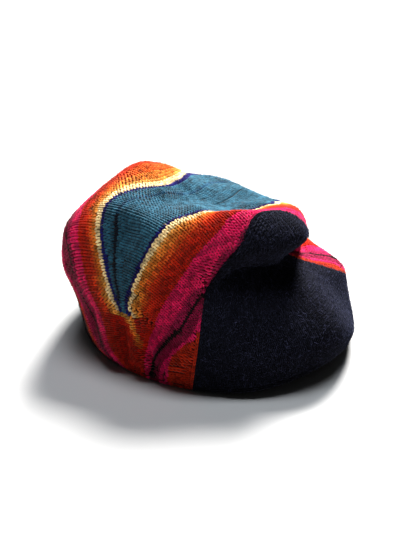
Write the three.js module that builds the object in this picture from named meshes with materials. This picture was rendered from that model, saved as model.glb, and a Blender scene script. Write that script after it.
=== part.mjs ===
// Duckbill cap in striped knitted cloth, lying slack on its rim.
// Millimetres, +Z up, the bill points along -Y.
// Three sub-parts: the striped crown, the dark front panel rolled over the bill, and the bill board.
import * as THREE from 'three';

// Main sizes.
const RIM_RADIUS = 92; // mean outer radius of the head opening
const CROWN_HEIGHT = 125; // tallest hump above the rim
const CROWN_WALL = 2.4; // knitted cloth of the crown
const HEM_WALL = 3.8; // turned hem along the rim
const PANEL_WALL = 2.4; // brushed cloth of the front panel
const PEAK_WALL = 3.0; // stiff board of the bill
const PIECE_GAP = 0.3; // clearance between neighbouring sub-parts
const PEAK_INNER_SHARE = 0.93; // inner edge of the bill board, share of RIM_RADIUS
const PEAK_TAPER = 0.7; // share of its width that the board loses at its ends
const PEAK_RISE_SHARE = 0.05; // how far that edge stands above the outer one, share of CROWN_HEIGHT
const HEM_STATION = 0.75; // station where the hem has thinned to the crown cloth

// Colours read as plain sRGB values.
const STRIPE_MEAN_COLOUR = 0xb8432f;
const DARK_WOOL_COLOUR = 0x1c1a28;
const PEAK_CLOTH_COLOUR = 0x17151f;

// Stations along one section, from the rim up over the rolled front to the top.
const STATIONS = [
  'rim', 'lowWall', 'belly', 'crease', 'underRoll', 'nose', 'ridge', 'roof', 'crown',
];
const APEX_STATION = STATIONS.length;
const APEX_HEIGHT_SHARE = 0.808;

// One row per section round the cap. The angle is in degrees, 0 at the bill and +90 on the +X side.
// Each station holds [radius as a share of RIM_RADIUS, height as a share of CROWN_HEIGHT].
const SECTIONS = [
  {
    angle: -150, rim: [1.043, 0], lowWall: [1.033, 0.152], belly: [1.087, 0.32],
    crease: [1.098, 0.464], underRoll: [1.043, 0.6], nose: [0.967, 0.728],
    ridge: [0.772, 0.88], roof: [0.522, 1], crown: [0.283, 0.904],
  },
  {
    angle: -115, rim: [0.978, 0], lowWall: [1.022, 0.136], belly: [1.065, 0.32],
    crease: [1.13, 0.48], underRoll: [1.12, 0.616], nose: [1.054, 0.744],
    ridge: [0.783, 0.888], roof: [0.533, 0.928], crown: [0.293, 0.896],
  },
  {
    angle: -90, rim: [0.957, 0], lowWall: [1.054, 0.128], belly: [1.043, 0.32],
    crease: [1.011, 0.472], underRoll: [0.924, 0.624], nose: [0.804, 0.768],
    ridge: [0.707, 0.888], roof: [0.489, 0.88], crown: [0.25, 0.856],
  },
  {
    angle: -75, rim: [0.978, 0], lowWall: [1.022, 0.152], belly: [1.011, 0.336],
    crease: [0.978, 0.488], underRoll: [0.935, 0.616], nose: [0.87, 0.752],
    ridge: [0.739, 0.864], roof: [0.533, 0.888], crown: [0.272, 0.856],
  },
  {
    angle: -54, rim: [1.033, 0], lowWall: [1.087, 0.168], belly: [1.043, 0.352],
    crease: [0.957, 0.472], underRoll: [0.902, 0.568], nose: [0.837, 0.736],
    ridge: [0.696, 0.88], roof: [0.5, 0.912], crown: [0.25, 0.848],
  },
  {
    angle: -30, rim: [1.196, 0.04], lowWall: [1.141, 0.232], belly: [0.946, 0.424],
    crease: [0.739, 0.584], underRoll: [0.761, 0.632], nose: [0.815, 0.752],
    ridge: [0.63, 0.904], roof: [0.489, 0.856], crown: [0.239, 0.832],
  },
  {
    angle: 0, rim: [1.283, 0.096], lowWall: [1.304, 0.28], belly: [1.011, 0.464],
    crease: [0.772, 0.552], underRoll: [0.772, 0.608], nose: [0.957, 0.776],
    ridge: [0.739, 0.888], roof: [0.478, 0.824], crown: [0.239, 0.8],
  },
  {
    angle: 30, rim: [1.239, 0.04], lowWall: [1.239, 0.152], belly: [1, 0.384],
    crease: [0.772, 0.496], underRoll: [0.685, 0.544], nose: [0.826, 0.656],
    ridge: [0.75, 0.8], roof: [0.457, 0.824], crown: [0.239, 0.792],
  },
  {
    angle: 54, rim: [1.12, 0], lowWall: [1.207, 0.192], belly: [1.217, 0.296],
    crease: [0.967, 0.4], underRoll: [0.837, 0.432], nose: [0.835, 0.556],
    ridge: [0.73, 0.728], roof: [0.478, 0.776], crown: [0.239, 0.784],
  },
  {
    angle: 90, rim: [0.989, 0], lowWall: [1.076, 0.168], belly: [1.065, 0.296],
    crease: [1.054, 0.424], underRoll: [0.957, 0.488], nose: [0.87, 0.584],
    ridge: [0.696, 0.688], roof: [0.522, 0.768], crown: [0.283, 0.784],
  },
  {
    angle: 125, rim: [1, 0], lowWall: [1.043, 0.144], belly: [1.065, 0.272],
    crease: [1.076, 0.392], underRoll: [1.043, 0.504], nose: [0.935, 0.616],
    ridge: [0.815, 0.736], roof: [0.587, 0.768], crown: [0.283, 0.812],
  },
  {
    angle: 180, rim: [1.043, 0], lowWall: [1.076, 0.152], belly: [1.13, 0.312],
    crease: [1.141, 0.448], underRoll: [1.109, 0.568], nose: [1.011, 0.688],
    ridge: [0.783, 0.776], roof: [0.533, 0.944], crown: [0.272, 0.888],
  },
];

// Side seams of the front panel: angle in degrees of the near and the far seam at each station.
const SIDE_SEAMS = [
  { station: 0, near: -51, far: 51 },
  { station: 1, near: -49.5, far: 51 },
  { station: 1.7, near: -48.3, far: 49 },
  { station: 2.2, near: -47.6, far: 42 },
  { station: 3, near: -46.3, far: 28 },
  { station: 4, near: -45.3, far: 22 },
  { station: 5, near: -45, far: 18 },
  { station: 6, near: -45, far: 17 },
  { station: 9, near: -45, far: 17 },
];

// Upper seam of the front panel: station reached at each share of the way from near to far seam.
const UPPER_SEAM = [
  { share: 0, station: 3.7 },
  { share: 0.12, station: 4.5 },
  { share: 0.25, station: 5.05 },
  { share: 0.45, station: 5.75 },
  { share: 0.65, station: 6.05 },
  { share: 0.85, station: 5.85 },
  { share: 1, station: 5.1 },
];

// Pleats where the slack cloth gathers at the rim. Depth is a share of RIM_RADIUS, inward positive.
const PLEATS = [
  { angle: -82, lean: 1.5, spread: 3.2, foot: 0.2, head: 2.4, depth: 0.045 },
  { angle: -75, lean: 2, spread: 3, foot: 0.1, head: 1.9, depth: -0.02 },
  { angle: -69, lean: 3.5, spread: 2.8, foot: 0.2, head: 1.9, depth: 0.04 },
  { angle: -101, lean: 5, spread: 4.5, foot: 0.5, head: 3.2, depth: 0.03 },
  { angle: -113, lean: 4, spread: 4.5, foot: 1.2, head: 4.6, depth: 0.025 },
];

// Mesh columns round the cap, in spans between the panel seams. The near side has closer columns.
const PANEL_COLUMNS = 22;
const CROWN_SPANS = [
  { from: 0, to: 0.79, columns: 42 },
  { from: 0.79, to: 1, columns: 20 },
];
const ROWS_BELOW_SEAM = 15;
const ROWS_ABOVE_SEAM = 14;
const PEAK_STRIPS = 3;
const PEAK_END_SHARE = 0.4; // share of a column by which the board stops short of each side seam

const FULL_TURN = 360;
const SLOPE_STEP = 0.01;
const RADIANS = Math.PI / 180;

// Smooth curve through uneven knots. With a period the knots repeat.
function curveThrough(knots, values, at, period) {
  const count = knots.length;
  const knot = (i) => {
    if (!period) {
      return knots[Math.min(Math.max(i, 0), count - 1)];
    }
    return knots[((i % count) + count) % count] + period * Math.floor(i / count);
  };
  const value = (i) => {
    if (!period) {
      return values[Math.min(Math.max(i, 0), count - 1)];
    }
    return values[((i % count) + count) % count];
  };
  let position = at;
  if (period) {
    position = at - period * Math.floor((at - knots[0]) / period);
  } else {
    position = Math.min(Math.max(at, knots[0]), knots[count - 1]);
  }
  let low = 0;
  while (low < count - 1 && position >= knots[low + 1]) {
    low += 1;
  }
  if (!period) {
    low = Math.min(low, count - 2);
  }
  const slope = (i) => {
    const before = knot(i) - knot(i - 1);
    const after = knot(i + 1) - knot(i);
    if (before <= 0) {
      return (value(i + 1) - value(i)) / after;
    }
    if (after <= 0) {
      return (value(i) - value(i - 1)) / before;
    }
    const rise = ((value(i) - value(i - 1)) / before) * after;
    const fall = ((value(i + 1) - value(i)) / after) * before;
    return (rise + fall) / (before + after);
  };
  const span = knot(low + 1) - knot(low);
  const u = (position - knot(low)) / span;
  const start = value(low) * (1 + 2 * u) * (1 - u) * (1 - u);
  const end = value(low + 1) * u * u * (3 - 2 * u);
  const leave = slope(low) * span * u * (1 - u) * (1 - u);
  const arrive = slope(low + 1) * span * u * u * (u - 1);
  return start + end + leave + arrive;
}

const SECTION_ANGLES = SECTIONS.map((section) => section.angle);

// Radius or height of one station at any angle.
function stationValue(angle, station, part) {
  const scale = part === 0 ? RIM_RADIUS : CROWN_HEIGHT;
  const values = SECTIONS.map((section) => section[STATIONS[station]][part] * scale);
  return curveThrough(SECTION_ANGLES, values, angle, FULL_TURN);
}

// Control value of the section at an angle, carried on past the rim and past the apex.
function sectionControl(angle, index, part) {
  if (index < 0) {
    return 2 * stationValue(angle, 0, part) - stationValue(angle, 1, part);
  }
  if (index < APEX_STATION) {
    return stationValue(angle, index, part);
  }
  if (index === APEX_STATION) {
    return part === 0 ? 0 : APEX_HEIGHT_SHARE * CROWN_HEIGHT;
  }
  const across = stationValue(angle + FULL_TURN / 2, APEX_STATION - 1, part);
  return part === 0 ? -across : across;
}

const sectionCache = new Map();

function sectionControls(angle) {
  const key = angle.toFixed(6);
  if (!sectionCache.has(key)) {
    const controls = [];
    for (let index = -1; index <= APEX_STATION + 1; index += 1) {
      controls.push([sectionControl(angle, index, 0), sectionControl(angle, index, 1)]);
    }
    sectionCache.set(key, controls);
  }
  return sectionCache.get(key);
}

// How deep the pleats pull the cloth in at a place.
function pleatDepth(angle, station) {
  let depth = 0;
  for (const pleat of PLEATS) {
    if (station > pleat.foot && station < pleat.head) {
      const along = (station - pleat.foot) / (pleat.head - pleat.foot);
      const window = Math.sin(Math.PI * along) ** 2;
      const away = (angle - pleat.angle - pleat.lean * (1 - 2 * along)) / pleat.spread;
      depth += pleat.depth * RIM_RADIUS * window * Math.exp(-away * away);
    }
  }
  return depth;
}

// Point of the outer cloth surface at an angle and a station.
function surfacePoint(angle, station) {
  const turned = angle > FULL_TURN / 2 ? angle - FULL_TURN : angle;
  const controls = sectionControls(turned);
  const low = Math.min(Math.max(Math.floor(station), 0), APEX_STATION - 1);
  const u = station - low;
  const blend = (part) => {
    const [a, b, c, d] = controls.slice(low, low + 4).map((control) => control[part]);
    const square = 2 * a - 5 * b + 4 * c - d;
    const cube = 3 * b - a - 3 * c + d;
    return 0.5 * (2 * b + (c - a) * u + square * u * u + cube * u * u * u);
  };
  const radius = blend(0) - pleatDepth(turned, station);
  const turn = turned * RADIANS;
  return new THREE.Vector3(radius * Math.sin(turn), -radius * Math.cos(turn), blend(1));
}

// Outward direction of the cloth. On the rim row it is kept level so that the hem stays flat.
function outwardDirection(angle, station) {
  if (station >= APEX_STATION) {
    return new THREE.Vector3(0, 0, 1);
  }
  const round = surfacePoint(angle + SLOPE_STEP * 10, station);
  round.sub(surfacePoint(angle - SLOPE_STEP * 10, station));
  const up = surfacePoint(angle, Math.min(station + SLOPE_STEP, APEX_STATION));
  up.sub(surfacePoint(angle, Math.max(station - SLOPE_STEP, 0)));
  const direction = round.cross(up);
  if (station === 0) {
    direction.z = 0;
  }
  return direction.normalize();
}

const SEAM_STATIONS = SIDE_SEAMS.map((row) => row.station);
const NEAR_ANGLES = SIDE_SEAMS.map((row) => row.near);
const FAR_ANGLES = SIDE_SEAMS.map((row) => row.far);

function seamAngles(station) {
  return {
    near: curveThrough(SEAM_STATIONS, NEAR_ANGLES, station),
    far: curveThrough(SEAM_STATIONS, FAR_ANGLES, station),
  };
}

// Places of the mesh columns: the panel columns first, then the crown columns back to the start.
function columnPlaces() {
  const places = [];
  for (let column = 0; column < PANEL_COLUMNS; column += 1) {
    places.push({ onPanel: true, share: column / PANEL_COLUMNS });
  }
  for (const span of CROWN_SPANS) {
    for (let column = 0; column < span.columns; column += 1) {
      const share = span.from + ((span.to - span.from) * column) / span.columns;
      places.push({ onPanel: false, share });
    }
  }
  return places;
}

const COLUMNS = columnPlaces();
const ROWS = ROWS_BELOW_SEAM + ROWS_ABOVE_SEAM;

// Station of the upper seam row at a column. Round the crown it runs back from far to near.
function seamRowStation(place) {
  const shares = UPPER_SEAM.map((row) => row.share);
  const stations = UPPER_SEAM.map((row) => row.station);
  if (place.onPanel) {
    return curveThrough(shares, stations, place.share);
  }
  const farEnd = stations[stations.length - 1];
  return farEnd + (stations[0] - farEnd) * place.share;
}

// Angle and station of a grid node. Seam nodes step back by half a gap, given as a signed length.
function nodePlace(column, row, sideStep, topStep) {
  const place = COLUMNS[column % COLUMNS.length];
  const seamStation = seamRowStation(place);
  let station = (seamStation * row) / ROWS_BELOW_SEAM;
  if (row > ROWS_BELOW_SEAM) {
    const above = (row - ROWS_BELOW_SEAM) / ROWS_ABOVE_SEAM;
    station = seamStation + (APEX_STATION - seamStation) * above;
  }
  const seams = seamAngles(station);
  let angle = seams.near + (seams.far - seams.near) * place.share;
  if (!place.onPanel) {
    angle = seams.far + (FULL_TURN + seams.near - seams.far) * place.share;
  }
  const here = surfacePoint(angle, station);
  const ahead = surfacePoint(angle, Math.min(station + SLOPE_STEP, APEX_STATION));
  const radius = Math.max(Math.hypot(here.x, here.y), 1);
  station += (topStep * SLOPE_STEP) / Math.max(here.distanceTo(ahead), SLOPE_STEP);
  angle += sideStep / radius / RADIANS;
  return { angle, station };
}

// Closed shell from an open patch of outer faces and its matching inner points.
function shellGeometry(outer, inner, faces) {
  const positions = [];
  const push = (points, a, b, c) => {
    for (const index of [a, b, c]) {
      positions.push(points[index].x, points[index].y, points[index].z);
    }
  };
  const points = outer.concat(inner);
  const under = outer.length;
  const edges = new Map();
  for (const [a, b, c] of faces) {
    push(points, a, b, c);
    push(points, a + under, c + under, b + under);
    for (const [from, to] of [[a, b], [b, c], [c, a]]) {
      if (edges.has(`${to}_${from}`)) {
        edges.delete(`${to}_${from}`);
      } else {
        edges.set(`${from}_${to}`, [from, to]);
      }
    }
  }
  // The wall diagonal starts at the lower end, so that walls facing each other across a seam match.
  for (const [from, to] of edges.values()) {
    if (points[from].z < points[to].z) {
      push(points, to, from, to + under);
      push(points, from, from + under, to + under);
    } else {
      push(points, to, from, from + under);
      push(points, to, from + under, to + under);
    }
  }
  const geometry = new THREE.BufferGeometry();
  geometry.setAttribute('position', new THREE.Float32BufferAttribute(positions, 3));
  geometry.computeVertexNormals();
  return geometry;
}

// Cloth thickness of the crown: full hem at the rim, thinning to the plain cloth.
function crownWall(station) {
  const down = Math.min(Math.max(1 - station / HEM_STATION, 0), 1);
  return CROWN_WALL + (HEM_WALL - CROWN_WALL) * down * down * (3 - 2 * down);
}

// Adds the node to the patch once and returns its index.
function patchNode(patch, key, angle, station, wall, flatRim) {
  if (!patch.index.has(key)) {
    patch.places.push({ angle, station });
    const point = surfacePoint(angle, station);
    const direction = outwardDirection(angle, station);
    if (flatRim && station === 0) {
      point.z = 0;
    }
    patch.index.set(key, patch.outer.length);
    patch.outer.push(point);
    patch.inner.push(point.clone().addScaledVector(direction, -wall));
  }
  return patch.index.get(key);
}

function emptyPatch() {
  return { index: new Map(), outer: [], inner: [], places: [] };
}

// How far the middle of a chord between two nodes stands off the true surface.
function chordMiss(patch, from, to) {
  const start = patch.places[from];
  const end = patch.places[to];
  const wrap = start.angle - end.angle > FULL_TURN / 2 ? FULL_TURN : 0;
  const angle = (start.angle + end.angle + wrap) / 2;
  const target = surfacePoint(angle, (start.station + end.station) / 2);
  const middle = patch.outer[from].clone().add(patch.outer[to]).multiplyScalar(0.5);
  return middle.distanceTo(target);
}

// Splits a grid cell along the diagonal that lies closer to the true surface.
function addCell(patch, faces, a, b, c, d) {
  if (chordMiss(patch, a, c) <= Math.min(chordMiss(patch, b, d), chordMiss(patch, d, b))) {
    faces.push([a, b, c], [a, c, d]);
  } else {
    faces.push([a, b, d], [b, c, d]);
  }
}

function crownGeometry() {
  const patch = emptyPatch();
  const halfGap = PIECE_GAP / 2;
  const node = (column, row) => {
    const wrapped = column % COLUMNS.length;
    let sideStep = 0;
    let topStep = 0;
    if (row <= ROWS_BELOW_SEAM && wrapped === 0) {
      sideStep = -halfGap;
    }
    if (row <= ROWS_BELOW_SEAM && wrapped === PANEL_COLUMNS) {
      sideStep = halfGap;
    }
    if (row === ROWS_BELOW_SEAM && wrapped <= PANEL_COLUMNS) {
      topStep = halfGap;
    }
    const key = row === ROWS ? 'apex' : `${wrapped}_${row}`;
    const { angle, station } = nodePlace(wrapped, row, sideStep, topStep);
    return patchNode(patch, key, angle, station, crownWall(station), true);
  };
  const faces = [];
  for (let row = 0; row < ROWS; row += 1) {
    const first = row < ROWS_BELOW_SEAM ? PANEL_COLUMNS : 0;
    for (let column = first; column < COLUMNS.length; column += 1) {
      const low = node(column, row);
      const lowNext = node(column + 1, row);
      const high = node(column, row + 1);
      if (row === ROWS - 1) {
        faces.push([low, lowNext, high]);
      } else {
        addCell(patch, faces, low, lowNext, node(column + 1, row + 1), high);
      }
    }
  }
  return shellGeometry(patch.outer, patch.inner, faces);
}

// Patch of the front panel, kept so that the bill board can follow its inner face.
function panelPatch() {
  const patch = emptyPatch();
  const halfGap = PIECE_GAP / 2;
  const node = (column, row) => {
    let sideStep = 0;
    if (column === 0) {
      sideStep = halfGap;
    }
    if (column === PANEL_COLUMNS) {
      sideStep = -halfGap;
    }
    const topStep = row === ROWS_BELOW_SEAM ? -halfGap : 0;
    const { angle, station } = nodePlace(column, row, sideStep, topStep);
    return patchNode(patch, `${column}_${row}`, angle, station, PANEL_WALL, false);
  };
  const faces = [];
  for (let row = 0; row < ROWS_BELOW_SEAM; row += 1) {
    for (let column = 0; column < PANEL_COLUMNS; column += 1) {
      addCell(
        patch,
        faces,
        node(column, row),
        node(column + 1, row),
        node(column + 1, row + 1),
        node(column, row + 1),
      );
    }
  }
  return { patch, faces };
}

// Crescent board inside the foot of the panel. Its outer edge follows the panel's inner face.
function peakGeometry(patch) {
  const innerPoint = (column, row) => patch.inner[patch.index.get(`${column}_${row}`)];
  const outer = [];
  const inner = [];
  const strips = PEAK_STRIPS + 1;
  for (let column = 0; column <= PANEL_COLUMNS; column += 1) {
    let from = column;
    let to = column;
    let blend = 0;
    if (column === 0) {
      to = 1;
      blend = PEAK_END_SHARE;
    }
    if (column === PANEL_COLUMNS) {
      to = PANEL_COLUMNS - 1;
      blend = PEAK_END_SHARE;
    }
    const foot = innerPoint(from, 0).clone().lerp(innerPoint(to, 0), blend);
    const next = innerPoint(from, 1).clone().lerp(innerPoint(to, 1), blend);
    const lift = PEAK_WALL / (next.z - foot.z);
    const level = new THREE.Vector3(foot.x, foot.y, 0).normalize();
    const low = foot.clone().addScaledVector(level, -PIECE_GAP);
    const high = foot.clone().lerp(next, lift).addScaledVector(level, -PIECE_GAP);
    const share = (2 * column) / PANEL_COLUMNS - 1;
    const rise = PEAK_RISE_SHARE * CROWN_HEIGHT * (1 - share * share);
    const reach = Math.hypot(low.x, low.y);
    const width = (reach - RIM_RADIUS * PEAK_INNER_SHARE) * (1 - PEAK_TAPER * share ** 4);
    const back = level.clone().multiplyScalar(reach - width);
    back.z = low.z + rise;
    for (let strip = 0; strip < strips; strip += 1) {
      const across = strip / PEAK_STRIPS;
      const camber = 0.5 * rise * Math.sin(Math.PI * across);
      const under = low.clone().lerp(back, across);
      const above = high.clone().lerp(back.clone().setZ(back.z + PEAK_WALL), across);
      inner.push(under.setZ(under.z + camber));
      outer.push(above.setZ(above.z + camber));
    }
  }
  const faces = [];
  for (let column = 0; column < PANEL_COLUMNS; column += 1) {
    for (let strip = 0; strip < PEAK_STRIPS; strip += 1) {
      const start = column * strips + strip;
      const next = start + strips;
      faces.push([start, next, next + 1], [start, next + 1, start + 1]);
    }
  }
  return shellGeometry(outer, inner, faces);
}

function clothMesh(name, geometry, colour, roughness) {
  const material = new THREE.MeshStandardMaterial({ color: colour, roughness, metalness: 0 });
  material.name = `${name}_cloth`;
  const mesh = new THREE.Mesh(geometry, material);
  mesh.name = name;
  return mesh;
}

const panel = panelPatch();
const cap = new THREE.Group();
cap.name = 'duckbill_cap';
cap.add(clothMesh('crown', crownGeometry(), STRIPE_MEAN_COLOUR, 0.9));
cap.add(
  clothMesh(
    'front_panel',
    shellGeometry(panel.patch.outer, panel.patch.inner, panel.faces),
    DARK_WOOL_COLOUR,
    0.95,
  ),
);
cap.add(clothMesh('peak', peakGeometry(panel.patch), PEAK_CLOTH_COLOUR, 0.9));

// The origin lies under the middle of the bounding box, on the level of the rim.
const bounds = new THREE.Box3().setFromObject(cap);
for (const mesh of cap.children) {
  mesh.position.set(-(bounds.min.x + bounds.max.x) / 2, -(bounds.min.y + bounds.max.y) / 2, -bounds.min.z);
}

export default cap;
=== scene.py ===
# Dressed model of a striped, knitted duckbill cap lying slack on its rim.
# Lengths are in millimetres up to the moment a mesh is made. Angles are in degrees, 0 at the bill.
import math

import bpy
import numpy as np
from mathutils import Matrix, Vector


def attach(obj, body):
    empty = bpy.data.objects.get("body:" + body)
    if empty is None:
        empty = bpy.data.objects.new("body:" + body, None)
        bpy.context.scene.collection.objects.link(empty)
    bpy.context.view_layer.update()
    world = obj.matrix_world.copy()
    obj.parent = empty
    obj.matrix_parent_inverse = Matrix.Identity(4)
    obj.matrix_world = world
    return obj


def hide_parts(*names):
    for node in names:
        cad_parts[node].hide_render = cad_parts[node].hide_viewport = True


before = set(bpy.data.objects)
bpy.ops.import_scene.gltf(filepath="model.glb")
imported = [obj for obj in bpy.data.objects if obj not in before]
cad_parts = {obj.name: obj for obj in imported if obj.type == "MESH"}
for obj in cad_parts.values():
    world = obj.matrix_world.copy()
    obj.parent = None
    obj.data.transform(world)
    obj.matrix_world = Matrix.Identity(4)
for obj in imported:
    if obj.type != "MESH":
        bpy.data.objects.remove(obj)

MM = 0.001
FULL_TURN = 360.0

# Main sizes of the cap.
RIM_RADIUS = 92.0
CROWN_HEIGHT = 125.0
CROWN_WALL = 2.4
HEM_WALL = 3.8
PANEL_WALL = 2.4
PIECE_GAP = 0.3
HEM_STATION = 0.75
APEX_HEIGHT_SHARE = 0.808

# Sizes of the knit. A gauge is the width and height of one stitch.
STITCH_WIDTH = 3.3
STITCH_HEIGHT = 2.3
YARN_RADIUS = 0.68
CROWN_GAUGE = (STITCH_WIDTH, STITCH_HEIGHT)
PANEL_GAUGE = (2.7, 2.0)
FIBRE_LENGTH = 3.2
FIBRE_RADIUS = 0.09
PANEL_FIBRES = 6000
CROWN_FIBRES = 5000
EDGE_STITCH = 2.6  # length of one chain stitch along an edge
EDGE_INSET = 1.0  # how far the chain stitches lie inside the edge they bind
RIM_CLEARANCE = 2.2  # bare strip that the chain along the rim covers
SEAM_CLEARANCE = 2.0  # bare strip beside the panel's seams

# How far a stitch may be squeezed or stretched, and how stitches and fibres vary, as shares of their sizes.
WIDTH_LIMITS = (0.55, 1.4)
HEIGHT_LIMITS = (0.55, 2.4)
THICKNESS_RANGE = (0.85, 1.2)
FIBRE_RANGE = (0.6, 1.3)

# Stations along one section, from the rim up over the rolled front to the top.
STATIONS = ("rim", "low_wall", "belly", "crease", "under_roll", "nose", "ridge", "roof", "crown")
APEX_STATION = len(STATIONS)

# One row per section round the cap. Each station holds the radius as a share of the rim's, and the
# height as a share of the crown's.
SECTIONS = (
    dict(
        angle=-150, rim=(1.043, 0), low_wall=(1.033, 0.152), belly=(1.087, 0.32),
        crease=(1.098, 0.464), under_roll=(1.043, 0.6), nose=(0.967, 0.728),
        ridge=(0.772, 0.88), roof=(0.522, 1), crown=(0.283, 0.904),
    ),
    dict(
        angle=-115, rim=(0.978, 0), low_wall=(1.022, 0.136), belly=(1.065, 0.32),
        crease=(1.13, 0.48), under_roll=(1.12, 0.616), nose=(1.054, 0.744),
        ridge=(0.783, 0.888), roof=(0.533, 0.928), crown=(0.293, 0.896),
    ),
    dict(
        angle=-90, rim=(0.957, 0), low_wall=(1.054, 0.128), belly=(1.043, 0.32),
        crease=(1.011, 0.472), under_roll=(0.924, 0.624), nose=(0.804, 0.768),
        ridge=(0.707, 0.888), roof=(0.489, 0.88), crown=(0.25, 0.856),
    ),
    dict(
        angle=-75, rim=(0.978, 0), low_wall=(1.022, 0.152), belly=(1.011, 0.336),
        crease=(0.978, 0.488), under_roll=(0.935, 0.616), nose=(0.87, 0.752),
        ridge=(0.739, 0.864), roof=(0.533, 0.888), crown=(0.272, 0.856),
    ),
    dict(
        angle=-54, rim=(1.033, 0), low_wall=(1.087, 0.168), belly=(1.043, 0.352),
        crease=(0.957, 0.472), under_roll=(0.902, 0.568), nose=(0.837, 0.736),
        ridge=(0.696, 0.88), roof=(0.5, 0.912), crown=(0.25, 0.848),
    ),
    dict(
        angle=-30, rim=(1.196, 0.04), low_wall=(1.141, 0.232), belly=(0.946, 0.424),
        crease=(0.739, 0.584), under_roll=(0.761, 0.632), nose=(0.815, 0.752),
        ridge=(0.63, 0.904), roof=(0.489, 0.856), crown=(0.239, 0.832),
    ),
    dict(
        angle=0, rim=(1.283, 0.096), low_wall=(1.304, 0.28), belly=(1.011, 0.464),
        crease=(0.772, 0.552), under_roll=(0.772, 0.608), nose=(0.957, 0.776),
        ridge=(0.739, 0.888), roof=(0.478, 0.824), crown=(0.239, 0.8),
    ),
    dict(
        angle=30, rim=(1.239, 0.04), low_wall=(1.239, 0.152), belly=(1, 0.384),
        crease=(0.772, 0.496), under_roll=(0.685, 0.544), nose=(0.826, 0.656),
        ridge=(0.75, 0.8), roof=(0.457, 0.824), crown=(0.239, 0.792),
    ),
    dict(
        angle=54, rim=(1.12, 0), low_wall=(1.207, 0.192), belly=(1.217, 0.296),
        crease=(0.967, 0.4), under_roll=(0.837, 0.432), nose=(0.835, 0.556),
        ridge=(0.73, 0.728), roof=(0.478, 0.776), crown=(0.239, 0.784),
    ),
    dict(
        angle=90, rim=(0.989, 0), low_wall=(1.076, 0.168), belly=(1.065, 0.296),
        crease=(1.054, 0.424), under_roll=(0.957, 0.488), nose=(0.87, 0.584),
        ridge=(0.696, 0.688), roof=(0.522, 0.768), crown=(0.283, 0.784),
    ),
    dict(
        angle=125, rim=(1, 0), low_wall=(1.043, 0.144), belly=(1.065, 0.272),
        crease=(1.076, 0.392), under_roll=(1.043, 0.504), nose=(0.935, 0.616),
        ridge=(0.815, 0.736), roof=(0.587, 0.768), crown=(0.283, 0.812),
    ),
    dict(
        angle=180, rim=(1.043, 0), low_wall=(1.076, 0.152), belly=(1.13, 0.312),
        crease=(1.141, 0.448), under_roll=(1.109, 0.568), nose=(1.011, 0.688),
        ridge=(0.783, 0.776), roof=(0.533, 0.944), crown=(0.272, 0.888),
    ),
)

# Side seams of the front panel: angle of the near and the far seam at each station.
SIDE_SEAMS = (
    dict(station=0, near=-51, far=51),
    dict(station=1, near=-49.5, far=51),
    dict(station=1.7, near=-48.3, far=49),
    dict(station=2.2, near=-47.6, far=42),
    dict(station=3, near=-46.3, far=28),
    dict(station=4, near=-45.3, far=22),
    dict(station=5, near=-45, far=18),
    dict(station=6, near=-45, far=17),
    dict(station=9, near=-45, far=17),
)

# Upper seam of the front panel: station reached at each share of the way from near to far seam.
UPPER_SEAM = (
    dict(share=0, station=3.7),
    dict(share=0.12, station=4.5),
    dict(share=0.25, station=5.05),
    dict(share=0.45, station=5.75),
    dict(share=0.65, station=6.05),
    dict(share=0.85, station=5.85),
    dict(share=1, station=5.1),
)

# Pleats where the slack cloth gathers at the rim. Depth is a share of RIM_RADIUS, inward positive.
PLEATS = (
    dict(angle=-82, lean=1.5, spread=3.2, foot=0.2, head=2.4, depth=0.045),
    dict(angle=-75, lean=2, spread=3, foot=0.1, head=1.9, depth=-0.02),
    dict(angle=-69, lean=3.5, spread=2.8, foot=0.2, head=1.9, depth=0.04),
    dict(angle=-101, lean=5, spread=4.5, foot=0.5, head=3.2, depth=0.03),
    dict(angle=-113, lean=4, spread=4.5, foot=1.2, head=4.6, depth=0.025),
)

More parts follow.
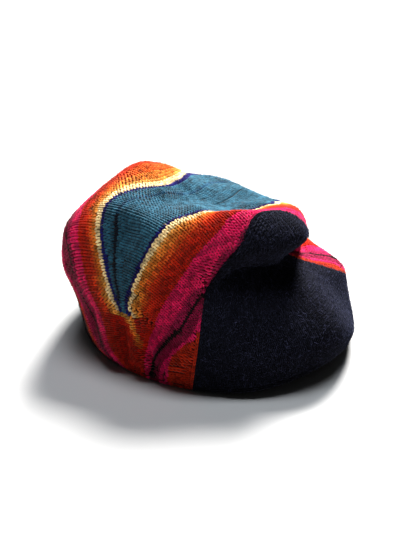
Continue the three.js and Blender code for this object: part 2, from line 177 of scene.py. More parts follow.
# Lines of the stripe pattern. offset is the distance from the middle of the blue gore, forward
# positive. A mirrored line also runs on the far side. Points are (angle, station).
STRIPE_LINES = (
    dict(offset=24, mirrored=True, points=(
        (-80.9, 2.45), (-81, 2.65), (-81, 3.0), (-79, 3.43), (-77.5, 3.88), (-76, 4.28), (-73.5, 4.73),
        (-72, 5.03), (-71, 5.28), (-68.5, 5.6), (-67, 5.83), (-65, 6.0), (-63, 6.18), (-57, 6.23),
        (-52, 6.35), (-45, 6.6))),
    dict(offset=24, mirrored=False, points=((-30, 6.95), (-12, 7.1), (5, 7.05), (16, 6.8), (26, 6.55))),
    dict(offset=36, mirrored=True, points=(
        (-74.5, 3.05), (-69.5, 4.12), (-65.5, 4.78), (-61, 5.23), (-56.5, 5.65), (-51, 5.9), (-44.5, 6.1))),
    dict(offset=-24, mirrored=True, points=(
        (-81.7, 2.42), (-84.3, 2.68), (-88, 3.0), (-91, 3.33), (-94, 3.65), (-96.5, 3.98), (-99, 4.33),
        (-101.5, 4.73), (-104, 5.12), (-106.5, 5.43))),
    dict(offset=-24, mirrored=False, points=(
        (-112.5, 5.83), (-116.5, 6.25), (-117.5, 6.6), (-118.5, 6.98), (-119, 7.33), (-123, 7.73),
        (-142, 8.03), (-165, 8.0), (163.5, 7.68), (154, 7.3), (146, 6.7), (137, 6.2), (126, 5.9),
        (115, 5.75))),
    dict(offset=-34, mirrored=False, points=(
        (-118.5, 5.6), (-125, 6.05), (-128.5, 6.4), (-129.5, 6.7), (-130, 7.03), (-138.5, 7.45),
        (-165, 7.65), (172, 7.5), (163, 7.3), (154, 6.8), (146, 6.25), (137, 5.8), (126, 5.5),
        (117, 5.35))),
    dict(offset=-12, mirrored=True, points=((-85, 3.1), (-89, 3.7), (-93, 4.4), (-96, 5.1))),
    dict(offset=-12, mirrored=False, points=(
        (-101, 5.9), (-105, 6.7), (-110, 7.8), (126, 7.9), (115, 7.0))),
    dict(offset=57, mirrored=True, points=(
        (-71.5, 0), (-71.5, 0.6), (-71, 1.2), (-69.5, 1.6), (-66, 2.1), (-64, 2.7), (-61, 3.45),
        (-57.5, 4.12), (-53.5, 4.55))),
    dict(offset=57, mirrored=False, points=(
        (-50, 4.9), (-45, 5.2), (-38.5, 5.45), (-30, 5.85), (-22, 6.1), (-12, 6.25), (5, 6.35), (14, 6.25),
        (22, 5.95), (30, 5.5), (40, 5.0), (48, 4.6))),
    dict(offset=67, mirrored=False, points=(
        (-44.5, 3.85), (-30, 5.15), (-15, 5.7), (0, 6.0), (10, 5.85), (18, 5.15))),
    dict(offset=77, mirrored=True, points=(
        (-70, 0), (-70, 0.3), (-68.8, 0.8), (-66, 1.2), (-63, 1.5), (-56, 2.1), (-51, 2.9),
        (-47, 3.4))),
    dict(offset=77, mirrored=False, points=((50, 3.1), (54, 2.75), (60, 2.4))),
    dict(offset=91, mirrored=True, points=(
        (-61, 0), (-60.5, 0.5), (-59, 1.4), (-54, 1.7), (-49, 1.9))),
    dict(offset=100, mirrored=False, points=((29.5, 3.0), (39.5, 2.35), (47.5, 1.95), (51.5, 1.5))),
    dict(offset=106, mirrored=True, points=((-51, 0), (-50.5, 0.6), (-49.5, 1.0))),
    dict(offset=120, mirrored=False, points=((0, 3), (-20, 3), (0, 4))),
    dict(offset=175, mirrored=False, points=((0, 0), (-30, 0), (30, 0))),
    dict(offset=-57, mirrored=True, points=(
        (-86, 0), (-87, 0.8), (-91, 1.6), (-96, 2.2), (-99.5, 2.6), (-101.5, 3.08), (-104, 3.5),
        (-106.5, 4.03), (-108.5, 4.42), (-112.5, 5.03), (-119, 5.38))),
    dict(offset=-57, mirrored=False, points=(
        (-135, 5.7), (-150, 5.9), (-165, 6.0), (180, 6.0), (165, 5.9), (150, 5.8), (135, 5.6))),
    dict(offset=-77, mirrored=True, points=(
        (-90, 0), (-91, 0.5), (-95, 1.2), (-101, 1.7), (-107, 2.15), (-109.3, 2.88), (-111.5, 3.65),
        (-114.5, 4.28), (-120.5, 4.83))),
    dict(offset=-77, mirrored=False, points=(
        (-135, 5.1), (-150, 5.15), (-165, 5.2), (180, 5.2), (165, 5.2), (150, 5.1), (135, 5.0))),
    dict(offset=-91, mirrored=True, points=(
        (-95, 0), (-99, 0.9), (-106, 1.4), (-114, 1.9), (-121, 3.0), (-127, 3.9), (-136, 4.3))),
    dict(offset=-91, mirrored=False, points=((-155, 4.5), (180, 4.5), (155, 4.5))),
    dict(offset=-104, mirrored=True, points=(
        (-102, 0), (-106, 0.8), (-118, 1.7), (-126, 2.6), (-138, 3.4))),
    dict(offset=-104, mirrored=False, points=((-158, 3.7), (180, 3.7), (158, 3.7))),
    dict(offset=-175, mirrored=False, points=(
        (180, 0), (150, 0), (-150, 0), (-125, 0), (125, 0))),
)
LINE_SLACK = 0.6  # how far, in mm of offset, the pattern may leave its lines to stay smooth

# Below the point of the blue gore the gathered cloth is red, but for a pale tail of the gore's edge.
# The offset is the least that the cloth there may have.
GORE_END = (
    dict(station=0, offset=50),
    dict(station=2.2, offset=50),
    dict(station=2.4, offset=24),
    dict(station=2.5, offset=0),
)
# Near that point the pale edge of the gore keeps its width, though the stripes crowd together. The offset
# grows at this share of its pace from the edge on, and comes back to its full pace over EDGE_REACH.
GORE_EDGE = (
    dict(station=2.0, share=0.2),
    dict(station=3.0, share=0.25),
    dict(station=3.6, share=1),
)
EDGE_REACH = 30.0
# Angle of the pale tail at each station, the same on both sides.
GORE_TAIL = (
    dict(station=1.3, angle=73.9),
    dict(station=1.55, angle=75),
    dict(station=2.1, angle=78.4),
    dict(station=2.45, angle=80.7),
)
TAIL_OFFSET = 26.5  # the tail has the colour of the pale stripe
TAIL_HALF_WIDTH = 1.4
TAIL_FADE = 5.0  # offset added per mm beside the tail
TAIL_DARKENING = 8.0  # offset added per station down the tail
FRONT_LIMIT = 103.0  # the last coloured stripe runs on to the side seam

# The dark seam of the blue gore turns faint above a station. Its colours are sRGB, from 0 to 255.
BLUE_SEAM_OFFSET = -12.6
BLUE_SEAM_WIDTH = 0.9
BLUE_SEAM_END = 5.6
BLUE_SEAM_COLOUR = (14, 30, 44)
FAINT_SEAM_OFFSET = -11.3
FAINT_SEAM_WIDTH = 0.05
FAINT_SEAM_COLOUR = (34, 82, 108)

# Yarn colours by distance from the middle of the gore, as sRGB values from 0 to 255.
BLACK_LINE_OFFSET = 77.0
PALE_STRIPE_OFFSET = 22.9
WINE_STRIPE_OFFSET = 68.0
YARNS = (
    dict(start=0, colour=(52, 102, 122)),
    dict(start=20.6, colour=(24, 28, 104)),
    dict(start=PALE_STRIPE_OFFSET, colour=(248, 222, 170)),
    dict(start=27.5, colour=(232, 166, 82)),
    dict(start=30.5, colour=(224, 134, 54)),
    dict(start=34.5, colour=(214, 98, 38)),
    dict(start=39, colour=(206, 64, 26)),
    dict(start=43.5, colour=(196, 46, 22)),
    dict(start=49, colour=(182, 36, 18)),
    dict(start=56, colour=(218, 34, 100)),
    dict(start=WINE_STRIPE_OFFSET, colour=(150, 24, 74)),
    dict(start=75.8, colour=(16, 6, 14)),
    dict(start=78.2, colour=(142, 20, 68)),
    dict(start=86, colour=(206, 30, 98)),
    dict(start=91, colour=(182, 48, 20)),
    dict(start=104, colour=(26, 22, 34)),
)
OFFSET_RANGE = 120.0  # distance that the colour ramp spans


def curve_through(knots, values, at, period=None):
    """Smooth curve through uneven knots, one row of values per knot. With a period the knots repeat."""
    knots = np.asarray(knots, float)
    values = np.asarray(values, float).reshape(len(knots), -1)
    at = np.asarray(at, float)
    if period:
        at = knots[0] + np.mod(at - knots[0], period)
        knots = np.concatenate([knots[-2:] - period, knots, knots[:3] + period])
        values = np.concatenate([values[-2:], values, values[:3]])
    else:
        at = np.clip(at, knots[0], knots[-1])
    gaps = np.diff(knots)[:, None]
    rises = np.diff(values, axis=0) / gaps
    slopes = np.concatenate([rises[:1], rises[:1], rises[1:]])
    slopes[1:-1] = (rises[:-1] * gaps[1:] + rises[1:] * gaps[:-1]) / (gaps[:-1] + gaps[1:])
    slopes[-1] = rises[-1]
    low = np.clip(np.searchsorted(knots, at, side="right") - 1, 0, len(knots) - 2)
    span = gaps[low]
    u = ((at - knots[low]) / span[:, 0])[:, None]
    start = values[low] * (1 + 2 * u) * (1 - u) ** 2
    end = values[low + 1] * u * u * (3 - 2 * u)
    leave = slopes[low] * span * u * (1 - u) ** 2
    arrive = slopes[low + 1] * span * u * u * (u - 1)
    return start + end + leave + arrive


def wrapped(angles):
    """The same angles within half a turn of the bill."""
    return np.mod(angles + FULL_TURN / 2, FULL_TURN) - FULL_TURN / 2


def column(rows, name):
    """One named column of a table."""
    return np.array([row[name] for row in rows], float)


SECTION_ANGLES = column(SECTIONS, "angle")
SECTION_POINTS = np.array([[row[name] for name in STATIONS] for row in SECTIONS], float)
SECTION_POINTS = SECTION_POINTS * (RIM_RADIUS, CROWN_HEIGHT)


def section_controls(angles):
    """Radius and height of each station at these angles, carried on past the rim and the apex."""
    here = curve_through(SECTION_ANGLES, SECTION_POINTS, angles, FULL_TURN)
    here = here.reshape(-1, APEX_STATION, 2)
    across = curve_through(SECTION_ANGLES, SECTION_POINTS, angles + FULL_TURN / 2, FULL_TURN)
    across = across.reshape(-1, APEX_STATION, 2)[:, -1:] * (-1, 1)
    before = 2 * here[:, :1] - here[:, 1:2]
    apex = np.zeros_like(before) + (0, APEX_HEIGHT_SHARE * CROWN_HEIGHT)
    return np.concatenate([before, here, apex, across], axis=1)


def pleat_depth(angles, stations):
    """How deep the pleats pull the cloth in at each place."""
    depth = np.zeros_like(angles)
    for pleat in PLEATS:
        along = (stations - pleat["foot"]) / (pleat["head"] - pleat["foot"])
        window = np.where((along > 0) & (along < 1), np.sin(np.pi * along) ** 2, 0)
        away = (angles - pleat["angle"] - pleat["lean"] * (1 - 2 * along)) / pleat["spread"]
        depth += pleat["depth"] * RIM_RADIUS * window * np.exp(-away * away)
    return depth


def cloth_points(angles, stations):
    """Points of the outer cloth surface."""
    angles = wrapped(np.asarray(angles, float))
    stations = np.asarray(stations, float)
    controls = section_controls(angles)
    low = np.clip(np.floor(stations), 0, APEX_STATION - 1).astype(int)
    u = (stations - low)[:, None]
    rows = np.arange(len(angles))
    a, b, c, d = (controls[rows, low + step] for step in range(4))
    blend = 2 * b + (c - a) * u + (2 * a - 5 * b + 4 * c - d) * u**2
    blend = 0.5 * (blend + (3 * b - a - 3 * c + d) * u**3)
    radius = blend[:, 0] - pleat_depth(angles, stations)
    turn = np.radians(angles)
    return np.stack([radius * np.sin(turn), -radius * np.cos(turn), blend[:, 1]], axis=-1)


# Steps over which slopes of the surface are taken, and the least slopes that are divided by.
ANGLE_STEP = 0.1
STATION_STEP = 0.01
LEAST_PER_DEGREE = 0.05
LEAST_PER_STATION = 0.5
TINY = 1e-6


def cloth_slopes(angles, stations):
    """How the surface moves per degree and per station."""
    low = np.maximum(stations - STATION_STEP, 0)
    high = np.minimum(stations + STATION_STEP, APEX_STATION)
    round_cap = cloth_points(angles + ANGLE_STEP, stations) - cloth_points(angles - ANGLE_STEP, stations)
    up_cap = cloth_points(angles, high) - cloth_points(angles, low)
    return round_cap / (2 * ANGLE_STEP), up_cap / (high - low)[:, None]


def unit(vectors):
    """The same directions with length one."""
    return vectors / np.maximum(np.linalg.norm(vectors, axis=-1, keepdims=True), 1e-9)


def cloth_normals(angles, stations):
    """Outward directions of the cloth."""
    round_cap, up_cap = cloth_slopes(angles, stations)
    normals = unit(np.cross(round_cap, up_cap))
    normals[stations >= APEX_STATION - TINY] = (0, 0, 1)
    return normals


def seam_angles(stations):
    """Angles of the near and the far side seam."""
    knots = column(SIDE_SEAMS, "station")
    near = curve_through(knots, column(SIDE_SEAMS, "near"), stations)[:, 0]
    far = curve_through(knots, column(SIDE_SEAMS, "far"), stations)[:, 0]
    return near, far


def upper_seam_stations(shares):
    """Station of the upper seam at shares of the way from the near to the far seam."""
    return curve_through(column(UPPER_SEAM, "share"), column(UPPER_SEAM, "station"), shares)[:, 0]


def panel_margin(angles, stations):
    """Distance in mm from the panel's outline, positive on the crown and negative on the panel."""
    near, far = seam_angles(stations)
    round_cap, up_cap = cloth_slopes(angles, stations)
    per_degree = np.linalg.norm(round_cap, axis=1)
    per_station = np.linalg.norm(up_cap, axis=1)
    shares = np.clip((angles - near) / (far - near), 0, 1)
    sideways = np.maximum(near - angles, angles - far) * per_degree
    above = (stations - upper_seam_stations(shares)) * per_station
    return np.maximum(sideways, above)


def line_samples():
    """Places of all stripe lines and the offset that holds at each."""
    places = []
    offsets = []
    for line in STRIPE_LINES:
        for angle, station in line["points"]:
            sides = (1, -1) if line["mirrored"] else (1,)
            for side in sides:
                places.append((angle * side, station))
                offsets.append(line["offset"])
    places = np.array(places, float)
    return cloth_points(places[:, 0], places[:, 1]), np.array(offsets, float)


def pattern_weights():
    """Weights of a smooth field in space that holds each stripe line's offset on that line."""
    knots, offsets = line_samples()
    count = len(knots)
    distances = np.linalg.norm(knots[:, None] - knots[None], axis=-1)
    plane = np.concatenate([np.ones((count, 1)), knots], axis=1)
    system = np.zeros((count + 4, count + 4))
    system[:count, :count] = distances - LINE_SLACK * np.eye(count)
    system[:count, count:] = plane
    system[count:, :count] = plane.T
    return knots, np.linalg.solve(system, np.concatenate([offsets, np.zeros(4)]))


PATTERN_KNOTS, PATTERN_WEIGHTS = pattern_weights()
PATTERN_BATCH = 20000  # places worked out at once, which bounds the memory that is used


def stripe_offsets(points):
    """Distance from the middle of the blue gore, in mm, forward positive."""
    offsets = np.empty(len(points))
    for start in range(0, len(points), PATTERN_BATCH):
        batch = points[start : start + PATTERN_BATCH]
        distances = np.linalg.norm(batch[:, None] - PATTERN_KNOTS[None], axis=-1)
        plane = PATTERN_WEIGHTS[-4] + batch @ PATTERN_WEIGHTS[-3:]
        offsets[start : start + PATTERN_BATCH] = distances @ PATTERN_WEIGHTS[:-4] + plane
    return offsets


def yarn_offsets(offsets, angles, stations):
    """Offset that picks the yarn colour, signed so that the dark seam stays behind the middle."""
    least = np.interp(stations, column(GORE_END, "station"), column(GORE_END, "offset"))
    slower = np.interp(stations, column(GORE_EDGE, "station"), column(GORE_EDGE, "share"))
    beyond = np.maximum(np.abs(offsets) - PALE_STRIPE_OFFSET, 0)
    slower = slower + (1 - slower) * np.clip(beyond / EDGE_REACH, 0, 1)
    far_out = np.minimum(np.abs(offsets), PALE_STRIPE_OFFSET) + beyond * slower
    far_out = np.maximum(far_out, least)
    tail_stations = column(GORE_TAIL, "station")
    tail_angles = np.interp(stations, tail_stations, column(GORE_TAIL, "angle"))
    beside = np.abs(np.abs(wrapped(angles)) - tail_angles) * math.radians(RIM_RADIUS)
    lower = np.maximum(tail_stations[-1] - stations, 0) * TAIL_DARKENING
    tail = TAIL_OFFSET + lower + np.maximum(beside - TAIL_HALF_WIDTH, 0) * TAIL_FADE
    on_tail = (stations > tail_stations[0]) & (stations < tail_stations[-1])
    far_out = np.where(on_tail, np.minimum(far_out, tail), far_out)
    signed = np.where(offsets < 0, -far_out, np.minimum(far_out, FRONT_LIMIT))
    on_seam = np.abs(signed - BLUE_SEAM_OFFSET) < BLUE_SEAM_WIDTH
    return np.where(on_seam & (stations > BLUE_SEAM_END), FAINT_SEAM_OFFSET, signed)


# Wales run round the two side poles that the stripes meet at, low behind the bill.
WALE_POLE_Y = -13.0
WALE_RADIUS = 110.0


def wale_positions(points):
    """Distance across the wales, in mm."""
    reach = np.hypot(points[:, 1] - WALE_POLE_Y, points[:, 2])
    return WALE_RADIUS * np.arctan2(points[:, 0], reach)


# Mesh of the dressed cloth: columns over the panel and round the crown, rows under and over the seam.
PANEL_COLUMNS = 60
CROWN_SPANS = (dict(start=0.0, end=0.79, columns=110), dict(start=0.79, end=1.0, columns=54))
ROWS_BELOW_SEAM = 46
ROWS_ABOVE_SEAM = 40
ROWS = ROWS_BELOW_SEAM + ROWS_ABOVE_SEAM


def column_shares():
    """Share of the way round at each column: over the panel first, then back round the crown."""
    shares = [np.arange(PANEL_COLUMNS) / PANEL_COLUMNS]
    for span in CROWN_SPANS:
        steps = np.arange(span["columns"]) / span["columns"]
        shares.append(span["start"] + (span["end"] - span["start"]) * steps)
    return np.concatenate(shares)


def grid_places(shares, on_panel, rows):
    """Angle and station of mesh nodes."""
    upper = column(UPPER_SEAM, "station")
    seam = np.where(on_panel, upper_seam_stations(shares), upper[-1] + (upper[0] - upper[-1]) * shares)
    above = (rows - ROWS_BELOW_SEAM) / ROWS_ABOVE_SEAM
    stations = np.where(
        rows <= ROWS_BELOW_SEAM,
        seam * rows / ROWS_BELOW_SEAM,
        seam + (APEX_STATION - seam) * above,
    )
    near, far = seam_angles(stations)
    over_panel = near + (far - near) * shares
    round_crown = far + (FULL_TURN + near - far) * shares
    return np.where(on_panel, over_panel, round_crown), stations


def shift_places(angles, stations, sideways, upward):
    """Moves places along the surface by lengths in mm."""
    round_cap, up_cap = cloth_slopes(angles, stations)
    per_degree = np.maximum(np.linalg.norm(round_cap, axis=1), LEAST_PER_DEGREE)
    per_station = np.maximum(np.linalg.norm(up_cap, axis=1), LEAST_PER_STATION)
    return angles + sideways / per_degree, stations + upward / per_station


def cloth_wall(stations, full, hem):
    """Thickness of the cloth: the hem at the rim thins to the plain cloth."""
    down = np.clip(1 - stations / HEM_STATION, 0, 1)
    return full + (hem - full) * down * down * (3 - 2 * down)


def inner_points(outer, angles, stations, wall):
    """Inner face of the cloth. On the rim it steps straight in, so that the edge stays level."""
    normals = cloth_normals(angles, stations)
    normals[stations < TINY, 2] = 0
    return outer - unit(normals) * wall[:, None]


def shell_faces(outer_faces, count):
    """Faces of a closed shell: the outer ones, the same reversed below, and walls round the edge."""
    faces = [tuple(face) for face in outer_faces]
    used = {}
    for face in faces:
        used.update(dict.fromkeys(zip(face, face[1:] + face[:1])))
    inner = [tuple(index + count for index in reversed(face)) for face in faces]
    walls = [
        (end, start, start + count, end + count)
        for start, end in used
        if (end, start) not in used
    ]
    return faces + inner + walls


def new_piece(name, points, faces, attributes=None):
    """A smooth mesh object in metres, placed in the shared frame. Attributes are one number per point."""
    mesh = bpy.data.meshes.new(name)
    placed = (np.asarray(points) + FRAME_SHIFT) * MM
    mesh.from_pydata(placed.tolist(), [], faces)
    for label, values in (attributes or {}).items():
        mesh.attributes.new(label, "FLOAT", "POINT").data.foreach_set("value", np.asarray(values, float))
    mesh.polygons.foreach_set("use_smooth", np.ones(len(mesh.polygons), bool))
    mesh.validate()
    mesh.update()
    piece = bpy.data.objects.new(name, mesh)
    bpy.context.scene.collection.objects.link(piece)
    return piece


def grid_faces(node_ids, row_count, columns, wrap):
    """Quads between grid nodes, seen anticlockwise from outside. The apex row holds one shared node."""
    faces = []
    for row in range(row_count):
        for this in columns:
            after = (this + 1) % wrap if wrap else this + 1
            corners = (node_ids[row, this], node_ids[row, after])
            corners += (node_ids[row + 1, after], node_ids[row + 1, this])
            if min(corners) < 0:
                continue
            faces.append(tuple(dict.fromkeys(int(corner) for corner in corners)))
    return faces


def crown_patch():
    """Places and outer faces of the crown cloth."""
    shares = column_shares()
    count = len(shares)
    rows, columns = np.meshgrid(np.arange(ROWS + 1), np.arange(count), indexing="ij")
    on_panel = columns < PANEL_COLUMNS
    used = (rows >= ROWS_BELOW_SEAM) | ~on_panel | (columns == 0)
    used[ROWS, 1:] = False
    ids = np.full(rows.shape, -1)
    ids[used] = np.arange(used.sum())
    ids[ROWS] = ids[ROWS, 0]
    rows, columns, on_panel = rows[used], columns[used], on_panel[used]
    angles, stations = grid_places(shares[columns], on_panel, rows)
    low = rows <= ROWS_BELOW_SEAM
    half = PIECE_GAP / 2
    sideways = np.where(low & (columns == PANEL_COLUMNS), half, 0)
    sideways = sideways - np.where(low & (columns == 0), half, 0)
    upward = np.where((rows == ROWS_BELOW_SEAM) & (columns <= PANEL_COLUMNS), half, 0)
    angles, stations = shift_places(angles, stations, sideways, upward)
    return angles, stations, grid_faces(ids, ROWS, range(count), count)


def panel_patch():
    """Places and outer faces of the front panel."""
    row_numbers = np.arange(ROWS_BELOW_SEAM + 1)
    rows, columns = np.meshgrid(row_numbers, np.arange(PANEL_COLUMNS + 1), indexing="ij")
    ids = np.arange(rows.size).reshape(rows.shape)
    rows, columns = rows.ravel(), columns.ravel()
    angles, stations = grid_places(columns / PANEL_COLUMNS, np.full(rows.size, True), rows)
    half = PIECE_GAP / 2
    sideways = np.where(columns == 0, half, 0) - np.where(columns == PANEL_COLUMNS, half, 0)
    upward = np.where(rows == ROWS_BELOW_SEAM, -half, 0)
    angles, stations = shift_places(angles, stations, sideways, upward)
    return angles, stations, grid_faces(ids, ROWS_BELOW_SEAM, range(PANEL_COLUMNS), None)


def cloth_piece(name, patch, full_wall, hem_wall):
    """Closed shell of cloth with its knit coordinates."""
    angles, stations, outer_faces = patch
    stations = np.maximum(stations, 0)
    outer = cloth_points(angles, stations)
    wall = cloth_wall(stations, full_wall, hem_wall)
    inner = inner_points(outer, angles, stations, wall)
    offsets = stripe_offsets(outer)
    knit = dict(
        yarn_offset=yarn_offsets(offsets, angles, stations),
        course=offsets,
        wale=wale_positions(outer),
    )
    both_faces = {label: np.tile(values, 2) for label, values in knit.items()}
    return new_piece(name, np.concatenate([outer, inner]), shell_faces(outer_faces, len(outer)), both_faces)


def rim_distance(angles, stations):
    """Distance in mm up from the rim, true close to it."""
    return stations * np.linalg.norm(cloth_slopes(angles, np.zeros_like(stations))[1], axis=1)


# Fine grid over the whole surface, on which the courses of the knit are traced.
TRACE_ANGLE_STEP = 1.0
TRACE_STATION_STEP = 0.05
TRACE_SHAPE = (-1, int(FULL_TURN / TRACE_ANGLE_STEP))
SOFTEN_ROUNDS = 6  # rounds of averaging that keep the height of the courses even


def trace_grid():
    """Angles, stations and triangles of the tracing grid. It closes round the cap."""
    angle_row = np.arange(-FULL_TURN / 2, FULL_TURN / 2, TRACE_ANGLE_STEP)
    station_row = np.arange(0, APEX_STATION - TRACE_STATION_STEP / 2, TRACE_STATION_STEP)
    stations, angles = np.meshgrid(station_row, angle_row, indexing="ij")
    ids = np.arange(angles.size).reshape(angles.shape)
    here, after = ids[:-1], np.roll(ids, -1, axis=1)[:-1]
    above, diagonal = ids[1:], np.roll(ids, -1, axis=1)[1:]
    lower = np.stack([here, after, diagonal], axis=-1).reshape(-1, 3)
    upper = np.stack([here, diagonal, above], axis=-1).reshape(-1, 3)
    return angles.ravel(), stations.ravel(), np.concatenate([lower, upper])


def surface_gradient(angles, stations, field):
    """Length of the field's slope along the cloth, per mm."""
    table = field.reshape(TRACE_SHAPE)
    per_angle = (np.roll(table, -1, axis=1) - np.roll(table, 1, axis=1)) / (2 * TRACE_ANGLE_STEP)
    per_station = np.gradient(table, TRACE_STATION_STEP, axis=0)
    round_cap, up_cap = cloth_slopes(angles, stations)
    e = np.sum(round_cap * round_cap, axis=1)
    f = np.sum(round_cap * up_cap, axis=1)
    g = np.sum(up_cap * up_cap, axis=1)
    a, b = per_angle.ravel(), per_station.ravel()
    squared = (g * a * a - 2 * f * a * b + e * b * b) / np.maximum(e * g - f * f, TINY)
    return np.sqrt(np.maximum(squared, 1e-8))


def soften(values):
    """Averages grid values with their neighbours."""
    table = values.reshape(TRACE_SHAPE)
    for _ in range(SOFTEN_ROUNDS):
        sides = np.roll(table, 1, axis=1) + np.roll(table, -1, axis=1)
        ends = np.concatenate([table[:1], table[:-1]]) + np.concatenate([table[1:], table[-1:]])
        table = (table * 2 + sides + ends) / 6
    return table.ravel()


def crossings(field, triangles, level):
    """Directed steps of the line where the field holds a level: pairs of grid edges, high side left."""
    high = field[triangles] > level
    count = high.sum(axis=1)
    steps = []
    for lone_is_high in (True, False):
        for corner in range(3):
            lone = (count == (1 if lone_is_high else 2)) & (high[:, corner] == lone_is_high)
            tri = triangles[lone]
            tip, left, right = tri[:, corner], tri[:, (corner + 1) % 3], tri[:, (corner + 2) % 3]
            first, second = np.stack([tip, left], axis=1), np.stack([tip, right], axis=1)
            steps.append((first, second) if lone_is_high else (second, first))
    starts = np.sort(np.concatenate([step[0] for step in steps]), axis=1)
    ends = np.sort(np.concatenate([step[1] for step in steps]), axis=1)
    return starts, ends


def joined_lines(starts, ends):
    """Chains directed steps into lines of grid edges."""
    following = {tuple(start): tuple(end) for start, end in zip(starts.tolist(), ends.tolist())}
    reached = set(following.values())
    heads = [start for start in following if start not in reached]
    lines = []
    for closed in (False, True):
        for head in heads if not closed else list(following):
            if head not in following:
                continue
            line = [head]
            while line[-1] in following:
                line.append(following.pop(line[-1]))
            lines.append(line)
    return lines


def line_places(line, field, level, angles, stations):
    """Angles and stations along a line of grid edges."""
    pairs = np.array(line)
    low, high = field[pairs[:, 0]], field[pairs[:, 1]]
    share = np.clip((level - low) / np.where(high == low, 1, high - low), 0, 1)
    first, second = angles[pairs[:, 0]], angles[pairs[:, 1]]
    second = second + FULL_TURN * np.round((first - second) / FULL_TURN)
    along = first + (second - first) * share
    up = stations[pairs[:, 0]] + (stations[pairs[:, 1]] - stations[pairs[:, 0]]) * share
    return along, up


# Limits of the stitches in one course, as shares of a stitch width.
CLOSEST_STITCHES = 0.62
WIDEST_STITCH = 1.3
SHORTEST_COURSE = 1.5
FEWEST_NODES = 3
WAY_REACH = 0.4  # mm to either side of a stitch over which its direction is taken


def stitch_distances(lengths, wales, width):
    """Distances along a course at which a stitch sits: where wales cross it, evened out between."""
    phase = wales / width
    marks = []
    for here, after, start, end in zip(phase[:-1], phase[1:], lengths[:-1], lengths[1:]):
        low, high = min(here, after), max(here, after)
        inside = np.arange(math.ceil(low), math.ceil(high))
        shares = (inside - here) / (after - here) if after != here else inside * 0.0
        marks.extend((start + shares * (end - start)).tolist())
    marks = sorted(marks)
    kept = [lengths[0]]
    for mark in marks + [lengths[-1]]:
        gap = mark - kept[-1]
        if gap < CLOSEST_STITCHES * width:
            continue
        pieces = max(1, round(gap / (WIDEST_STITCH * width)))
        kept.extend(kept[-1] + gap * np.arange(1, pieces + 1) / pieces)
    return np.array(kept)


def knit_course(angles, stations, rows_high, owner, width):
    """Stitches along one course: places, sizes, directions and the level that owns them."""
    points = cloth_points(angles, stations)
    lengths = np.concatenate([[0], np.cumsum(np.linalg.norm(np.diff(points, axis=0), axis=1))])
    if lengths[-1] < SHORTEST_COURSE * width:
        return None
    marks = stitch_distances(lengths, wale_positions(points), width)
    middles = (marks[1:] + marks[:-1]) / 2
    ahead, behind = middles + WAY_REACH, middles - WAY_REACH
    return dict(
        angle=wrapped(np.interp(middles, lengths, angles)),
        station=np.interp(middles, lengths, stations),
        width=np.diff(marks),
        height=np.interp(middles, lengths, rows_high),
        angle_ahead=np.interp(ahead, lengths, angles),
        station_ahead=np.interp(ahead, lengths, stations),
        angle_behind=np.interp(behind, lengths, angles),
        station_behind=np.interp(behind, lengths, stations),
        owner=np.full(len(middles), owner),
    )


def runs_of(mask):
    """Start and end of each run of true values."""
    edges = np.diff(np.concatenate([[0], mask.astype(int), [0]]))
    return list(zip(np.flatnonzero(edges == 1), np.flatnonzero(edges == -1)))


FINEST_SHARE = 8  # a stitch height in the field spans this many of the closest levels
MOST_OCTAVES = 6  # doublings from the closest spacing of the levels to the widest
LEVEL_NUDGE = 1e-4  # keeps a traced level off the grid's own values


def course_levels(field, finest, anchor, signs):
    """Levels with their rank. A course of rank r is knitted where at least every 2**r-th level is."""
    reach = max(-field.min(), field.max())
    levels = []
    for number in range(-int(anchor / finest), int((reach - anchor) / finest) + 1):
        rank = MOST_OCTAVES
        if number:
            rank = min(rank, (number & -number).bit_length() - 1)
        levels.extend((sign * (anchor + number * finest), rank) for sign in signs)
    return [(level, rank) for level, rank in levels if field.min() < level < field.max()]


def knit_stitches(field, gradient, grid, gauge, anchor, signs):
    """All stitches of courses that follow a field. Short rows fill in where the field spreads out."""
    angles, stations, triangles = grid
    width, height = gauge
    finest = height / FINEST_SHARE
    wanted = height * gradient / finest
    octave = np.clip(np.round(np.log2(np.maximum(wanted, 1))), 0, MOST_OCTAVES)
    spacing = finest * 2**octave
    courses = []
    for level, rank in course_levels(field, finest, anchor, signs):
        if octave.min() > rank:
            continue
        starts, ends = crossings(field, triangles, level + LEVEL_NUDGE)
        for line in joined_lines(starts, ends):
            along, up = line_places(line, field, level, angles, stations)
            nodes = np.array(line)[:, 0]
            for begin, end in runs_of(octave[nodes] <= rank):
                if end - begin < FEWEST_NODES:
                    continue
                part = slice(begin, end)
                rows_high = spacing[nodes[part]] / gradient[nodes[part]]
                turned = np.unwrap(along[part], period=FULL_TURN)
                course = knit_course(turned, up[part], rows_high, level, width)
                if course:
                    courses.append(course)
    return {key: np.concatenate([course[key] for course in courses]) for key in courses[0]}


def kept_stitches(stitches, keep):
    """The stitches where a mask is true."""
    return {key: values[keep] for key, values in stitches.items()}


